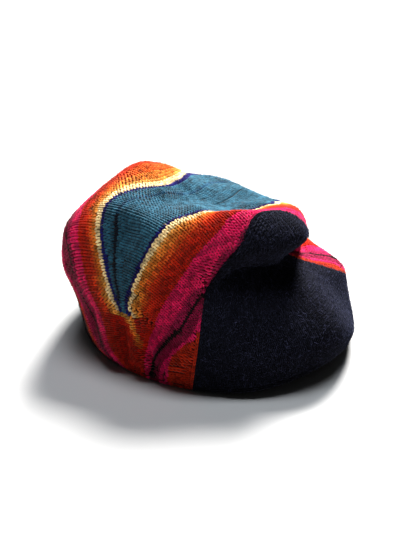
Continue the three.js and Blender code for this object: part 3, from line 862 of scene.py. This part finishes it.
def stitch_cloud(name, points, normals, ways, sizes, yarns, seed):
    """Loose points that carry the turn, size and yarn of each stitch. Sizes are width and height in mm."""
    chance = np.random.default_rng(seed)
    scales = np.stack(
        [
            np.clip(sizes[:, 0] / STITCH_WIDTH, *WIDTH_LIMITS),
            np.clip(sizes[:, 1] / STITCH_HEIGHT, *HEIGHT_LIMITS),
            chance.uniform(*THICKNESS_RANGE, len(points)),
        ],
        axis=1,
    )
    cloud = new_piece(name, points, [])
    layers = cloud.data.attributes
    for label, values in dict(cloth_normal=normals, course_way=ways, stitch_size=scales).items():
        layers.new(label, "FLOAT_VECTOR", "POINT").data.foreach_set("vector", values.ravel())
    numbers = dict(yarn_offset=yarns, yarn_tone=chance.uniform(0, 1, len(points)))
    for label, values in numbers.items():
        layers.new(label, "FLOAT", "POINT").data.foreach_set("value", np.asarray(values, float))
    return cloud


def knit_cloud(name, stitches, yarns, seed):
    """Points of the stitches in rows."""
    place = stitches["angle"], stitches["station"]
    ahead = cloth_points(stitches["angle_ahead"], stitches["station_ahead"])
    behind = cloth_points(stitches["angle_behind"], stitches["station_behind"])
    sizes = np.stack([stitches["width"], stitches["height"]], axis=1)
    ways = unit(ahead - behind)
    return stitch_cloud(name, cloth_points(*place), cloth_normals(*place), ways, sizes, yarns, seed)


def edge_cloud(name, angles, stations, seed):
    """Points of a chain of stitches that binds an edge, evenly spaced along the places given."""
    route = cloth_points(angles, stations)
    lengths = np.concatenate([[0], np.cumsum(np.linalg.norm(np.diff(route, axis=0), axis=1))])
    count = int(lengths[-1] / EDGE_STITCH)
    marks = (np.arange(count) + 0.5) * lengths[-1] / count
    angles = np.interp(marks, lengths, angles)
    stations = np.interp(marks, lengths, stations)
    points = np.stack([np.interp(marks, lengths, route[:, axis]) for axis in range(3)], axis=1)
    normals = cloth_normals(angles, stations)
    along = unit(np.gradient(points, axis=0))
    sizes = np.full((count, 2), EDGE_STITCH)
    yarns = yarn_offsets(stripe_offsets(points), angles, stations)
    return stitch_cloud(name, points, normals, unit(np.cross(along, normals)), sizes, yarns, seed)


EDGE_SAMPLES = 240
EDGE_GAP_ANGLE = 1.0  # room left where the rim's chains end at the panel's seams


def panel_seam_route(inset):
    """Places beside the panel's seams, from the near foot over the top to the far foot."""
    shares = np.linspace(0, 1, EDGE_SAMPLES)
    top = upper_seam_stations(shares)
    near_up = shares * top[0]
    far_down = top[-1] * (1 - shares)
    near, far = seam_angles(top)
    angles = [seam_angles(near_up)[0], near + (far - near) * shares, seam_angles(far_down)[1]]
    stations = [near_up, top, far_down]
    sideways = [np.full(EDGE_SAMPLES, inset), np.zeros(EDGE_SAMPLES), np.full(EDGE_SAMPLES, -inset)]
    upward = [np.zeros(EDGE_SAMPLES), np.full(EDGE_SAMPLES, -inset), np.zeros(EDGE_SAMPLES)]
    return shift_places(*(np.concatenate(parts) for parts in (angles, stations, sideways, upward)))


def rim_route(start, end):
    """Places just above the rim between two angles."""
    angles = np.linspace(start, end, EDGE_SAMPLES * 2)
    zeros = np.zeros_like(angles)
    return shift_places(angles, zeros, zeros, zeros + EDGE_INSET)


class Value:
    """A number in a node graph. Plain arithmetic on it adds Math nodes."""

    def __init__(self, graph, socket):
        self.graph = graph
        self.socket = socket

    def __add__(self, other):
        return self.graph.math("ADD", self, other)

    def __radd__(self, other):
        return self.graph.math("ADD", other, self)

    def __sub__(self, other):
        return self.graph.math("SUBTRACT", self, other)

    def __rsub__(self, other):
        return self.graph.math("SUBTRACT", other, self)

    def __mul__(self, other):
        return self.graph.math("MULTIPLY", self, other)

    def __rmul__(self, other):
        return self.graph.math("MULTIPLY", other, self)

    def __truediv__(self, other):
        return self.graph.math("DIVIDE", self, other)

    def size(self):
        return self.graph.math("ABSOLUTE", self)

    def sine(self):
        return self.graph.math("SINE", self)

    def below(self, limit):
        return self.graph.math("LESS_THAN", self, limit)


class Graph:
    """Adds nodes to one node tree."""

    def __init__(self, tree):
        self.tree = tree

    def node(self, kind, settings=None, inputs=None):
        """Adds a node: its settings first, then the values or links of its sockets."""
        made = self.tree.nodes.new(kind)
        for name, value in (settings or {}).items():
            if name == "stops":
                set_stops(made.color_ramp, value)
            else:
                setattr(made, name, value)
        for name, value in (inputs or {}).items():
            source = value.socket if isinstance(value, Value) else value
            if isinstance(source, bpy.types.NodeSocket):
                self.tree.links.new(source, made.inputs[name])
            else:
                made.inputs[name].default_value = source
        return made

    def value(self, node, output=0):
        return Value(self, node.outputs[output])

    def math(self, operation, *inputs):
        return self.value(self.node("ShaderNodeMath", dict(operation=operation), dict(enumerate(inputs))))

    def mix(self, factor, first, second, blend="MIX"):
        """Colour between two colours."""
        settings = dict(data_type="RGBA", blend_type=blend)
        return self.node("ShaderNodeMix", settings, {0: factor, 6: first, 7: second}).outputs[2]


def set_stops(ramp, stops):
    """Fills a colour ramp. Each stop is (position, colour), and each colour holds up to the next stop."""
    ramp.interpolation = "CONSTANT"
    while len(ramp.elements) < len(stops):
        ramp.elements.new(1.0)
    for element, (position, colour) in zip(ramp.elements, stops):
        element.position = position
        element.color = colour


def paint(colour, shade=1.0):
    """Linear colour with alpha from sRGB values of 0 to 255."""
    levels = [level / 255 for level in colour]
    linear = [level / 12.92 if level <= 0.04045 else ((level + 0.055) / 1.055) ** 2.4 for level in levels]
    return tuple(level * shade for level in linear) + (1.0,)


def new_material(name):
    """An empty material and the graph of its node tree."""
    material = bpy.data.materials.new(name)
    material.use_nodes = True
    material.node_tree.nodes.clear()
    return material, Graph(material.node_tree)


def finish_cloth(graph, colour, height, relief, roughness, sheen, sheen_colour):
    """Matt fibre finish with a soft sheen and a relief in mm."""
    bump = graph.node("ShaderNodeBump", None, {"Strength": 1.0, "Distance": relief * MM, "Height": height})
    cloth = graph.node(
        "ShaderNodeBsdfPrincipled",
        None,
        {
            "Base Color": colour,
            "Roughness": roughness,
            "Specular IOR Level": 0.2,
            "Sheen Weight": sheen,
            "Sheen Roughness": 0.5,
            "Sheen Tint": sheen_colour,
            "Normal": bump.outputs[0],
        },
    )
    graph.node("ShaderNodeOutputMaterial", None, {"Surface": cloth.outputs[0]})


# Finish of the yarns. Tones is how far single stitches differ in lightness, and mottle how far the
# spun yarn does along its length.
FIBRE_PITCH = 0.5
FIBRE_SHADE = 0.5
MOTTLE = 0.9
# The backing takes the stripes at this share of their lightness: painted shade in the gaps between the
# stitches.
BACKING_PAINTED_SHADE = 0.16
WARM_SHEEN = paint((255, 214, 190))
COOL_SHEEN = paint((150, 160, 205))
STRIPED_FINISH = dict(tones=0.7, sheen=0.2, sheen_colour=WARM_SHEEN)
DARK_FINISH = dict(tones=0.8, sheen=0.22, sheen_colour=COOL_SHEEN)
NAP_FINISH = dict(tones=0.3, sheen=0.2, sheen_colour=COOL_SHEEN)
DARK_YARN = (13, 11, 20)
GREY_FIBRE = (92, 98, 128)
PALE_FIBRE = (96, 98, 130)
BILL_COLOUR = (23, 21, 31)
BILL_WEAVE_PITCH = 0.9


def fibre_noise(graph, pitch=FIBRE_PITCH, detail=3.0):
    """Soft noise with a pitch in mm, fixed in space."""
    place = graph.node("ShaderNodeTexCoord").outputs["Object"]
    settings = dict(noise_dimensions="3D")
    inputs = {"Vector": place, "Scale": 1 / (pitch * MM), "Detail": detail, "Roughness": 0.6}
    return graph.value(graph.node("ShaderNodeTexNoise", settings, inputs))


def carried(graph, label):
    """A number that the piece's points carry."""
    return graph.value(graph.node("ShaderNodeAttribute", dict(attribute_name=label)), "Fac")


def shaded(graph, colour, level):
    """A colour made lighter or darker by a level round one."""
    grey = graph.node("ShaderNodeCombineColor", None, {0: level, 1: level, 2: level}).outputs[0]
    return graph.mix(1.0, colour, grey, "MULTIPLY")


def yarn_colour(graph, shade=1.0):
    """Colour of the striped yarn, from the offset carried by the cloth or the stitch."""
    offset = carried(graph, "yarn_offset")
    stops = [(yarn["start"] / OFFSET_RANGE, paint(yarn["colour"], shade)) for yarn in YARNS]
    share = offset.size() / OFFSET_RANGE
    bands = graph.node("ShaderNodeValToRGB", dict(stops=stops), {"Fac": share}).outputs[0]
    seam = (offset - BLUE_SEAM_OFFSET).size().below(BLUE_SEAM_WIDTH)
    faint = (offset - FAINT_SEAM_OFFSET).size().below(FAINT_SEAM_WIDTH)
    seamed = graph.mix(seam, bands, paint(BLUE_SEAM_COLOUR, shade))
    return graph.mix(faint, seamed, paint(FAINT_SEAM_COLOUR, shade))


def backing_painted_shade_colour(graph):
    """The same stripes, darkened as painted shade for the cloth seen in the gaps between the stitches."""
    return yarn_colour(graph, BACKING_PAINTED_SHADE)


def yarn_material(name, colour_of, tones, sheen, sheen_colour):
    """Spun yarn of a stitch: each stitch has its own tone, and fine fibres break up the surface."""
    material, graph = new_material(name)
    fibres = fibre_noise(graph)
    mottle = fibre_noise(graph, STITCH_HEIGHT, 1.0)
    spread = carried(graph, "yarn_tone") * tones + (fibres - 0.5) * FIBRE_SHADE + (mottle - 0.5) * MOTTLE
    colour = shaded(graph, colour_of(graph), 1 - tones / 2 + spread)
    finish_cloth(graph, colour, fibres, 0.12, 0.78 + fibres * 0.25, sheen, sheen_colour)
    return material


def backing_material(name, colour_of, sheen_colour):
    """Cloth under and inside the stitches: rows of purl bumps in the same yarns."""
    material, graph = new_material(name)
    along = (carried(graph, "wale") * (math.tau / STITCH_WIDTH)).sine()
    bumps = (carried(graph, "course") * (math.tau / STITCH_HEIGHT) + along).sine()
    fibres = fibre_noise(graph)
    level = 0.9 + bumps * 0.1 + (fibres - 0.5) * FIBRE_SHADE
    colour = shaded(graph, colour_of(graph), level)
    height = bumps * 0.5 + fibres * 0.3
    finish_cloth(graph, colour, height, 0.5, 0.85 + fibres * 0.1, 0.1, sheen_colour)
    return material


def dark_with(graph, value, low, high, most, colour):
    """Dark yarn that takes on a paler colour, up to a share, as a value goes from low to high."""
    limits = {"Value": value, "From Min": low, "From Max": high, "To Max": most}
    pale = graph.value(graph.node("ShaderNodeMapRange", dict(clamp=True), limits))
    return graph.mix(pale, paint(DARK_YARN), paint(colour))


def dark_wool_colour(graph):
    """Nearly black navy wool with paler fibres showing in places."""
    return dark_with(graph, fibre_noise(graph, 0.9, 5.0), 0.56, 0.74, 0.4, GREY_FIBRE)


def nap_colour(graph):
    """Dark wool in which part of the loose fibres are pale grey blue."""
    return dark_with(graph, carried(graph, "yarn_tone"), 0.3, 1.0, 0.6, PALE_FIBRE)


def bill_cloth():
    """Plain matt black cloth over the bill board, in a fine weave."""
    material, graph = new_material("bill_board_cloth")
    place = graph.node("ShaderNodeTexCoord").outputs["Object"]
    parts = graph.node("ShaderNodeSeparateXYZ", None, {0: place})
    turns = math.tau / (BILL_WEAVE_PITCH * MM)
    weave = (graph.value(parts, "X") * turns).sine() * (graph.value(parts, "Y") * turns).sine()
    fibres = fibre_noise(graph, 0.4)
    colour = shaded(graph, paint(BILL_COLOUR), 0.85 + weave * 0.12 + fibres * 0.3)
    finish_cloth(graph, colour, weave * 0.5 + fibres * 0.4, 0.15, 0.8 + fibres * 0.15, 0.15, COOL_SHEEN)
    return material


def new_tree(name, sizes):
    """A Geometry Nodes tree with a geometry input, named sizes and a material input."""
    tree = bpy.data.node_groups.new(name, "GeometryNodeTree")
    face = tree.interface
    face.new_socket("Geometry", in_out="INPUT", socket_type="NodeSocketGeometry")
    for label in sizes:
        face.new_socket(label, in_out="INPUT", socket_type="NodeSocketFloat")
    face.new_socket("Material", in_out="INPUT", socket_type="NodeSocketMaterial")
    face.new_socket("Geometry", in_out="OUTPUT", socket_type="NodeSocketGeometry")
    graph = Graph(tree)
    entry = graph.node("NodeGroupInput")
    return tree, graph, entry


# What each point of a cloud says of the shape that is laid on it. It isn't kept on the finished mesh.
CLOUD_VECTORS = ("cloth_normal", "course_way", "stitch_size")


def made_piece(carrier, tree, sizes, material, name):
    """Runs a tree on a carrier object and returns the plain mesh it makes. The carrier goes."""
    modifier = carrier.modifiers.new("making", "NODES")
    modifier.node_group = tree
    values = dict(sizes, Material=material)
    for item in tree.interface.items_tree:
        if item.in_out == "INPUT" and item.name in values:
            modifier[item.identifier] = values[item.name]
    carrier.update_tag()
    graph = bpy.context.evaluated_depsgraph_get()
    mesh = bpy.data.meshes.new_from_object(carrier.evaluated_get(graph))
    mesh.name = name
    for label in CLOUD_VECTORS:
        if label in mesh.attributes:
            mesh.attributes.remove(mesh.attributes[label])
    bpy.data.objects.remove(carrier)
    piece = bpy.data.objects.new(name, mesh)
    bpy.context.scene.collection.objects.link(piece)
    return piece


# Bend of one leg: shares of the stitch's width and height, and of the yarn's radius.
STITCH_BEND = (
    ("Start", 0.1, -0.6, -0.25),
    ("Middle", 0.34, -0.1, 1.3),
    ("End", 0.27, 0.6, -0.25),
)
# Bend of a loose fibre: shares of its length across, along and away from the cloth.
FIBRE_BEND = (
    ("Start", 0.0, 0.0, -0.05),
    ("Middle", 0.35, 0.1, 0.3),
    ("End", 0.6, 0.4, 0.16),
)


def swelling(along):
    """Thickness of a stitch's leg: full in the middle, half at its ends."""
    return 0.5 + 0.5 * (along * math.pi).sine()


def tapering(along):
    """Thickness of a fibre: it thins towards its tip."""
    return 1 - along * 0.6


def bent_strand(graph, bend, scales, steps, sides, radius, thickness_along):
    """A strand on three points of a bend, with a thickness that changes from its start to its end."""
    points = {}
    for label, *shares in bend:
        place = {axis: scale * share for axis, scale, share in zip("XYZ", scales, shares)}
        points[label] = graph.node("ShaderNodeCombineXYZ", None, place).outputs[0]
    line = graph.node("GeometryNodeCurveQuadraticBezier", None, {"Resolution": steps, **points})
    along = graph.value(graph.node("GeometryNodeSplineParameter"), "Factor")
    thickness = {"Curve": line.outputs[0], "Radius": thickness_along(along)}
    thick = graph.node("GeometryNodeSetCurveRadius", None, thickness)
    section = graph.node("GeometryNodeCurvePrimitiveCircle", None, {"Resolution": sides, "Radius": radius})
    body = {"Curve": thick.outputs[0], "Profile Curve": section.outputs[0], "Fill Caps": True}
    return graph.node("GeometryNodeCurveToMesh", None, body)


def stitch_leg(graph, entry, side):
    """One leg of a stitch: a thick strand from the foot of the V to its open end."""
    radius = graph.value(entry, "Yarn radius")
    scales = (graph.value(entry, "Stitch width") * side, graph.value(entry, "Stitch height"), radius)
    return bent_strand(graph, STITCH_BEND, scales, 3, 4, radius, swelling)


def stitch_shape(graph, entry):
    """Two legs that make the V of one stitch."""
    stitch = graph.node("GeometryNodeJoinGeometry")
    for side in (1.0, -1.0):
        graph.tree.links.new(stitch_leg(graph, entry, side).outputs[0], stitch.inputs[0])
    return stitch


def fibre_shape(graph, entry):
    """One loose curled fibre that tapers to its tip."""
    length = graph.value(entry, "Fibre length")
    radius = graph.value(entry, "Fibre radius")
    return bent_strand(graph, FIBRE_BEND, (length, length, length), 2, 3, radius, tapering)


def laying_tree(name, sizes, shape_of):
    """Lays one shape on each point, turned and sized by the point's own attributes."""
    tree, graph, entry = new_tree(name, sizes)
    shape = shape_of(graph, entry)
    vectors = {}
    for label in CLOUD_VECTORS:
        settings = dict(data_type="FLOAT_VECTOR")
        vectors[label] = graph.node("GeometryNodeInputNamedAttribute", settings, {"Name": label}).outputs[0]
    turn = graph.node(
        "FunctionNodeAxesToRotation",
        dict(primary_axis="Z", secondary_axis="X"),
        {0: vectors["cloth_normal"], 1: vectors["course_way"]},
    )
    laid = graph.node(
        "GeometryNodeInstanceOnPoints",
        None,
        {
            "Points": entry.outputs["Geometry"],
            "Instance": shape.outputs[0],
            "Rotation": turn.outputs[0],
            "Scale": vectors["stitch_size"],
        },
    )
    real = graph.node("GeometryNodeRealizeInstances", None, {0: laid.outputs[0]})
    smooth = graph.node("GeometryNodeSetShadeSmooth", None, {"Geometry": real.outputs[0]})
    coat = {"Geometry": smooth.outputs[0], "Material": entry.outputs["Material"]}
    coated = graph.node("GeometryNodeSetMaterial", None, coat)
    graph.node("NodeGroupOutput", None, {"Geometry": coated.outputs[0]})
    return tree


# Sizes that the trees are given, in metres.
STITCH_SIZES = {
    "Stitch width": STITCH_WIDTH * MM,
    "Stitch height": STITCH_HEIGHT * MM,
    "Yarn radius": YARN_RADIUS * MM,
}
FIBRE_SIZES = {
    "Fibre length": FIBRE_LENGTH * MM,
    "Fibre radius": FIBRE_RADIUS * MM,
}

# The camera stands off the near front of the cap, as for the photograph of 416 by 555 pixels.
PHOTO_LONG_SIDE = 555
PHOTO_PIXEL = 0.765  # mm on the cap for one pixel, at the target's distance
CAMERA_AZIMUTH = -47.0
CAMERA_ELEVATION = 27.0
CAMERA_DISTANCE = 600.0
CAMERA_TARGET = np.array([0.0, -8.0, 40.0])
CAMERA_SHIFT = 3  # pixels by which the cap is seen further right
SENSOR_WIDTH = 36.0


def way_back(azimuth, elevation):
    """Direction from the cap towards a viewer or lamp."""
    turn, tilt = math.radians(azimuth), math.radians(elevation)
    return np.array([math.sin(turn) * math.cos(tilt), -math.cos(turn) * math.cos(tilt), math.sin(tilt)])


def aimed(thing, azimuth, elevation, distance, target):
    """Places a camera or lamp round a target, facing it."""
    back = way_back(azimuth, elevation)
    thing.location = Vector(((target + back * distance) * MM).tolist())
    thing.rotation_euler = Vector((-back).tolist()).to_track_quat("-Z", "Y").to_euler()


def set_camera():
    """The camera at the photograph's angle."""
    data = bpy.data.cameras.new("photo_view")
    data.sensor_width = SENSOR_WIDTH
    data.lens = SENSOR_WIDTH * CAMERA_DISTANCE / PHOTO_PIXEL / PHOTO_LONG_SIDE
    data.shift_x = -CAMERA_SHIFT / PHOTO_LONG_SIDE
    camera = bpy.data.objects.new("photo_view", data)
    bpy.context.scene.collection.objects.link(camera)
    aimed(camera, CAMERA_AZIMUTH, CAMERA_ELEVATION, CAMERA_DISTANCE, CAMERA_TARGET + FRAME_SHIFT)
    bpy.context.scene.camera = camera


# Studio lamps round the cap: size in mm, power in watts.
LAMP_DISTANCE = 6000.0
LAMPS = (
    dict(name="key_lamp", azimuth=114, elevation=50, size=1600, power=900, colour=(1.0, 0.98, 0.95)),
    dict(name="sky_lamp", azimuth=120, elevation=84, size=2500, power=215, colour=(0.9, 0.95, 1.0)),
)
WORLD_STRENGTH = 0.04  # soft light from all round
BACKDROP_STRENGTH = 0.9  # the studio behind the floor is seen pale


def set_lamps():
    """Two lamps and the pale studio round them."""
    for lamp in LAMPS:
        data = bpy.data.lights.new(lamp["name"], "AREA")
        data.size = lamp["size"] * MM
        data.energy = lamp["power"]
        data.color = lamp["colour"]
        thing = bpy.data.objects.new(lamp["name"], data)
        bpy.context.scene.collection.objects.link(thing)
        aimed(thing, lamp["azimuth"], lamp["elevation"], LAMP_DISTANCE, np.zeros(3))
    world = bpy.data.worlds.new("studio")
    world.use_nodes = True
    backdrop = world.node_tree.nodes["Background"]
    backdrop.inputs["Color"].default_value = (1.0, 1.0, 1.0, 1.0)
    graph = Graph(world.node_tree)
    seen = graph.value(graph.node("ShaderNodeLightPath"), "Is Camera Ray")
    strength = WORLD_STRENGTH + seen * (BACKDROP_STRENGTH - WORLD_STRENGTH)
    world.node_tree.links.new(strength.socket, backdrop.inputs["Strength"])
    bpy.context.scene.world = world
    bpy.context.scene.view_settings.view_transform = "Standard"
    bpy.context.scene.view_settings.look = "Medium High Contrast"


FLOOR_SIZE = 5200.0
FLOOR_DROP = 0.2
FLOOR_GREY = 0.52


def set_floor():
    """The plain pale floor, which isn't part of the cap."""
    half = FLOOR_SIZE / 2
    corners = [(-half, -half), (half, -half), (half, half), (-half, half)]
    points = [(x - FRAME_SHIFT[0], y - FRAME_SHIFT[1], -FLOOR_DROP - FRAME_SHIFT[2]) for x, y in corners]
    floor = new_piece("floor", points, [(0, 1, 2, 3)])
    material, graph = new_material("pale_floor")
    grey = (FLOOR_GREY, FLOOR_GREY, FLOOR_GREY, 1.0)
    finish = {"Base Color": grey, "Roughness": 0.9, "Specular IOR Level": 0.1}
    matt = graph.node("ShaderNodeBsdfPrincipled", None, finish)
    graph.node("ShaderNodeOutputMaterial", None, {"Surface": matt.outputs[0]})
    floor.data.materials.append(material)


def shift_to_frame():
    """How the shape's own origin moves so that its box has its middle over the shared origin."""
    angles, stations, _ = trace_grid()
    points = cloth_points(angles, stations)
    middle = (points.min(axis=0) + points.max(axis=0)) / 2
    return np.array([-middle[0], -middle[1], -points[:, 2].min()])


def dress(piece):
    """Fastens a piece to the shared frame."""
    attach(piece, "root")


def dress_cloth(piece, node, material):
    """Dresses a cloth shell, which stands for a node."""
    piece.data.materials.append(material)
    dress(piece)
    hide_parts(node)


def lay_stitches(cloud, name, tree, material):
    """Lays a stitch on each point of a cloud."""
    dress(made_piece(cloud, tree, STITCH_SIZES, material, name))


# One seed for each cloud of points. Loose fibres have one for their places and one for their shapes.
AREA_SEEDS = (1, 2, 3, 4)
EDGE_SEEDS = dict(crown_rim=5, crown_seam=6, panel_seam=10, panel_rim=11)
PANEL_SEED = 9
NAP = dict(name="panel_nap", cloud_name="panel_fibre_points", slot_name="dark_wool", seeds=(21, 22))
FUZZ = dict(name="stripe_fuzz", cloud_name="crown_fibre_points", slot_name="striped_knit", seeds=(23, 24))
PANEL_HALF_ANGLE = 60.0  # the panel lies within this angle of the bill


def knit_striped_stitches(grid, points, tree, material):
    """Stitches of the crown in four areas, then the chains along its rim and seams."""
    angles, stations, _ = grid
    field = stripe_offsets(points)
    gradient = soften(surface_gradient(angles, stations, field))
    stitches = knit_stitches(field, gradient, grid, CROWN_GAUGE, BLACK_LINE_OFFSET, (1, -1))
    margin = panel_margin(stitches["angle"], stitches["station"])
    above_rim = rim_distance(stitches["angle"], stitches["station"])
    stitches = kept_stitches(stitches, (margin > SEAM_CLEARANCE) & (above_rim > RIM_CLEARANCE))
    yarns = yarn_offsets(stitches["owner"], stitches["angle"], stitches["station"])
    areas = (
        ("blue_gore_stitches", np.abs(yarns) < PALE_STRIPE_OFFSET),
        ("front_stripe_stitches", yarns >= PALE_STRIPE_OFFSET),
        ("back_upper_stitches", (yarns <= -PALE_STRIPE_OFFSET) & (yarns > -WINE_STRIPE_OFFSET)),
        ("back_lower_stitches", yarns <= -WINE_STRIPE_OFFSET),
    )
    for seed, (name, inside) in zip(AREA_SEEDS, areas):
        cloud = knit_cloud(name + "_points", kept_stitches(stitches, inside), yarns[inside], seed)
        lay_stitches(cloud, name, tree, material)
    start = SIDE_SEAMS[0]["far"] + EDGE_GAP_ANGLE
    routes = dict(
        crown_rim=rim_route(start, FULL_TURN - start),
        crown_seam=panel_seam_route(-EDGE_INSET),
    )
    bind_edges(routes, tree, material)


def bind_edges(routes, tree, material):
    """Chains of stitches along named routes."""
    for edge, route in routes.items():
        cloud = edge_cloud(edge + "_points", *route, EDGE_SEEDS[edge])
        lay_stitches(cloud, edge + "_chain", tree, material)


def knit_panel_stitches(grid, points, tree, material):
    """Stitches of the front panel, in rows that follow its rim, then the chains along its edges."""
    angles, stations, _ = grid
    table = points.reshape(*angles.reshape(TRACE_SHAPE).shape, 3)
    rises = np.linalg.norm(np.diff(table, axis=0), axis=2)
    climb = np.concatenate([np.zeros((1, rises.shape[1])), np.cumsum(rises, axis=0)]).ravel()
    gradient = soften(surface_gradient(angles, stations, climb))
    panel = knit_stitches(climb, gradient, grid, PANEL_GAUGE, 0.0, (1,))
    margin = panel_margin(panel["angle"], panel["station"])
    above_rim = rim_distance(panel["angle"], panel["station"])
    in_front = np.abs(panel["angle"]) < PANEL_HALF_ANGLE
    panel = kept_stitches(panel, (margin < -2 * EDGE_INSET) & (above_rim > RIM_CLEARANCE) & in_front)
    cloud = knit_cloud("panel_points", panel, np.zeros(len(panel["angle"])), PANEL_SEED)
    lay_stitches(cloud, "panel_stitches", tree, material)
    start = SIDE_SEAMS[0]["far"] - EDGE_GAP_ANGLE
    routes = dict(panel_seam=panel_seam_route(EDGE_INSET), panel_rim=rim_route(-start, start))
    bind_edges(routes, tree, material)


def scattered_places(grid, points, keep, count, seed):
    """Random places on the kept part of the cloth, evenly spread by area."""
    angles, stations, triangles = grid
    corners = points[triangles]
    sides = np.cross(corners[:, 1] - corners[:, 0], corners[:, 2] - corners[:, 0])
    areas = np.linalg.norm(sides, axis=1) * keep[triangles].all(axis=1)
    chance = np.random.default_rng(seed)
    picked = triangles[chance.choice(len(triangles), count, p=areas / areas.sum())]
    shares = chance.dirichlet((1.0, 1.0, 1.0), count)
    turned = angles[picked]
    turned = turned + FULL_TURN * np.round((turned[:, :1] - turned) / FULL_TURN)
    return wrapped((turned * shares).sum(axis=1)), (stations[picked] * shares).sum(axis=1)


def lay_fibres(places, seed, name, cloud_name, slot_name, tree, material):
    """Loose fibres that lean every way over the cloth."""
    angles, stations = places
    chance = np.random.default_rng(seed)
    feet = cloth_points(angles, stations)
    normals = cloth_normals(angles, stations)
    lean = unit(np.cross(normals, chance.normal(size=feet.shape)))
    sizes = np.outer(chance.uniform(*FIBRE_RANGE, len(feet)), CROWN_GAUGE)
    yarns = yarn_offsets(stripe_offsets(feet), angles, stations)
    heads = feet + normals * YARN_RADIUS
    cloud = stitch_cloud(cloud_name, heads, normals, lean, sizes, yarns, seed)
    dress(made_piece(cloud, tree, FIBRE_SIZES, material, name))


def brush_cloth(grid, points, stripes, nap):
    """Loose fibres: a brushed nap on the dark panel and a little fuzz on the stripes."""
    tree = laying_tree("loose_fibres", FIBRE_SIZES, fibre_shape)
    angles, stations, _ = grid
    margin = panel_margin(angles, stations)
    above_rim = rim_distance(angles, stations) > EDGE_INSET
    on_panel = (margin < -EDGE_INSET) & above_rim & (np.abs(angles) < PANEL_HALF_ANGLE)
    on_crown = (margin > EDGE_INSET) & above_rim
    parts = ((on_panel, PANEL_FIBRES, NAP, nap), (on_crown, CROWN_FIBRES, FUZZ, stripes))
    for keep, count, kind, material in parts:
        place_seed, fibre_seed = kind["seeds"]
        places = scattered_places(grid, points, keep, count, place_seed)
        names = kind["name"], kind["cloud_name"], kind["slot_name"]
        lay_fibres(places, fibre_seed, *names, tree, material)


def make_cap():
    """All pieces of the cap: the cloth, its stitches, its loose fibres and the covered bill board."""
    grid = trace_grid()
    points = cloth_points(*grid[:2])
    stripes = yarn_material("striped_yarn", yarn_colour, **STRIPED_FINISH)
    backing = backing_material("striped_backing", backing_painted_shade_colour, WARM_SHEEN)
    dark_yarn = yarn_material("dark_wool_yarn", dark_wool_colour, **DARK_FINISH)
    dark_backing = backing_material("dark_wool_backing", dark_wool_colour, COOL_SHEEN)
    crown = cloth_piece("crown_cloth", crown_patch(), CROWN_WALL, HEM_WALL)
    dress_cloth(crown, "crown", backing)
    panel = cloth_piece("panel_cloth", panel_patch(), PANEL_WALL, PANEL_WALL)
    dress_cloth(panel, "front_panel", dark_backing)
    tree = laying_tree("knit_stitches", STITCH_SIZES, stitch_shape)
    knit_striped_stitches(grid, points, tree, stripes)
    knit_panel_stitches(grid, points, tree, dark_yarn)
    nap = yarn_material("dark_wool_nap", nap_colour, **NAP_FINISH)
    brush_cloth(grid, points, stripes, nap)
    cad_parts["peak"].material_slots[0].material = bill_cloth()


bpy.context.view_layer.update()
FRAME_SHIFT = shift_to_frame()
set_camera()
make_cap()
set_floor()
set_lamps()
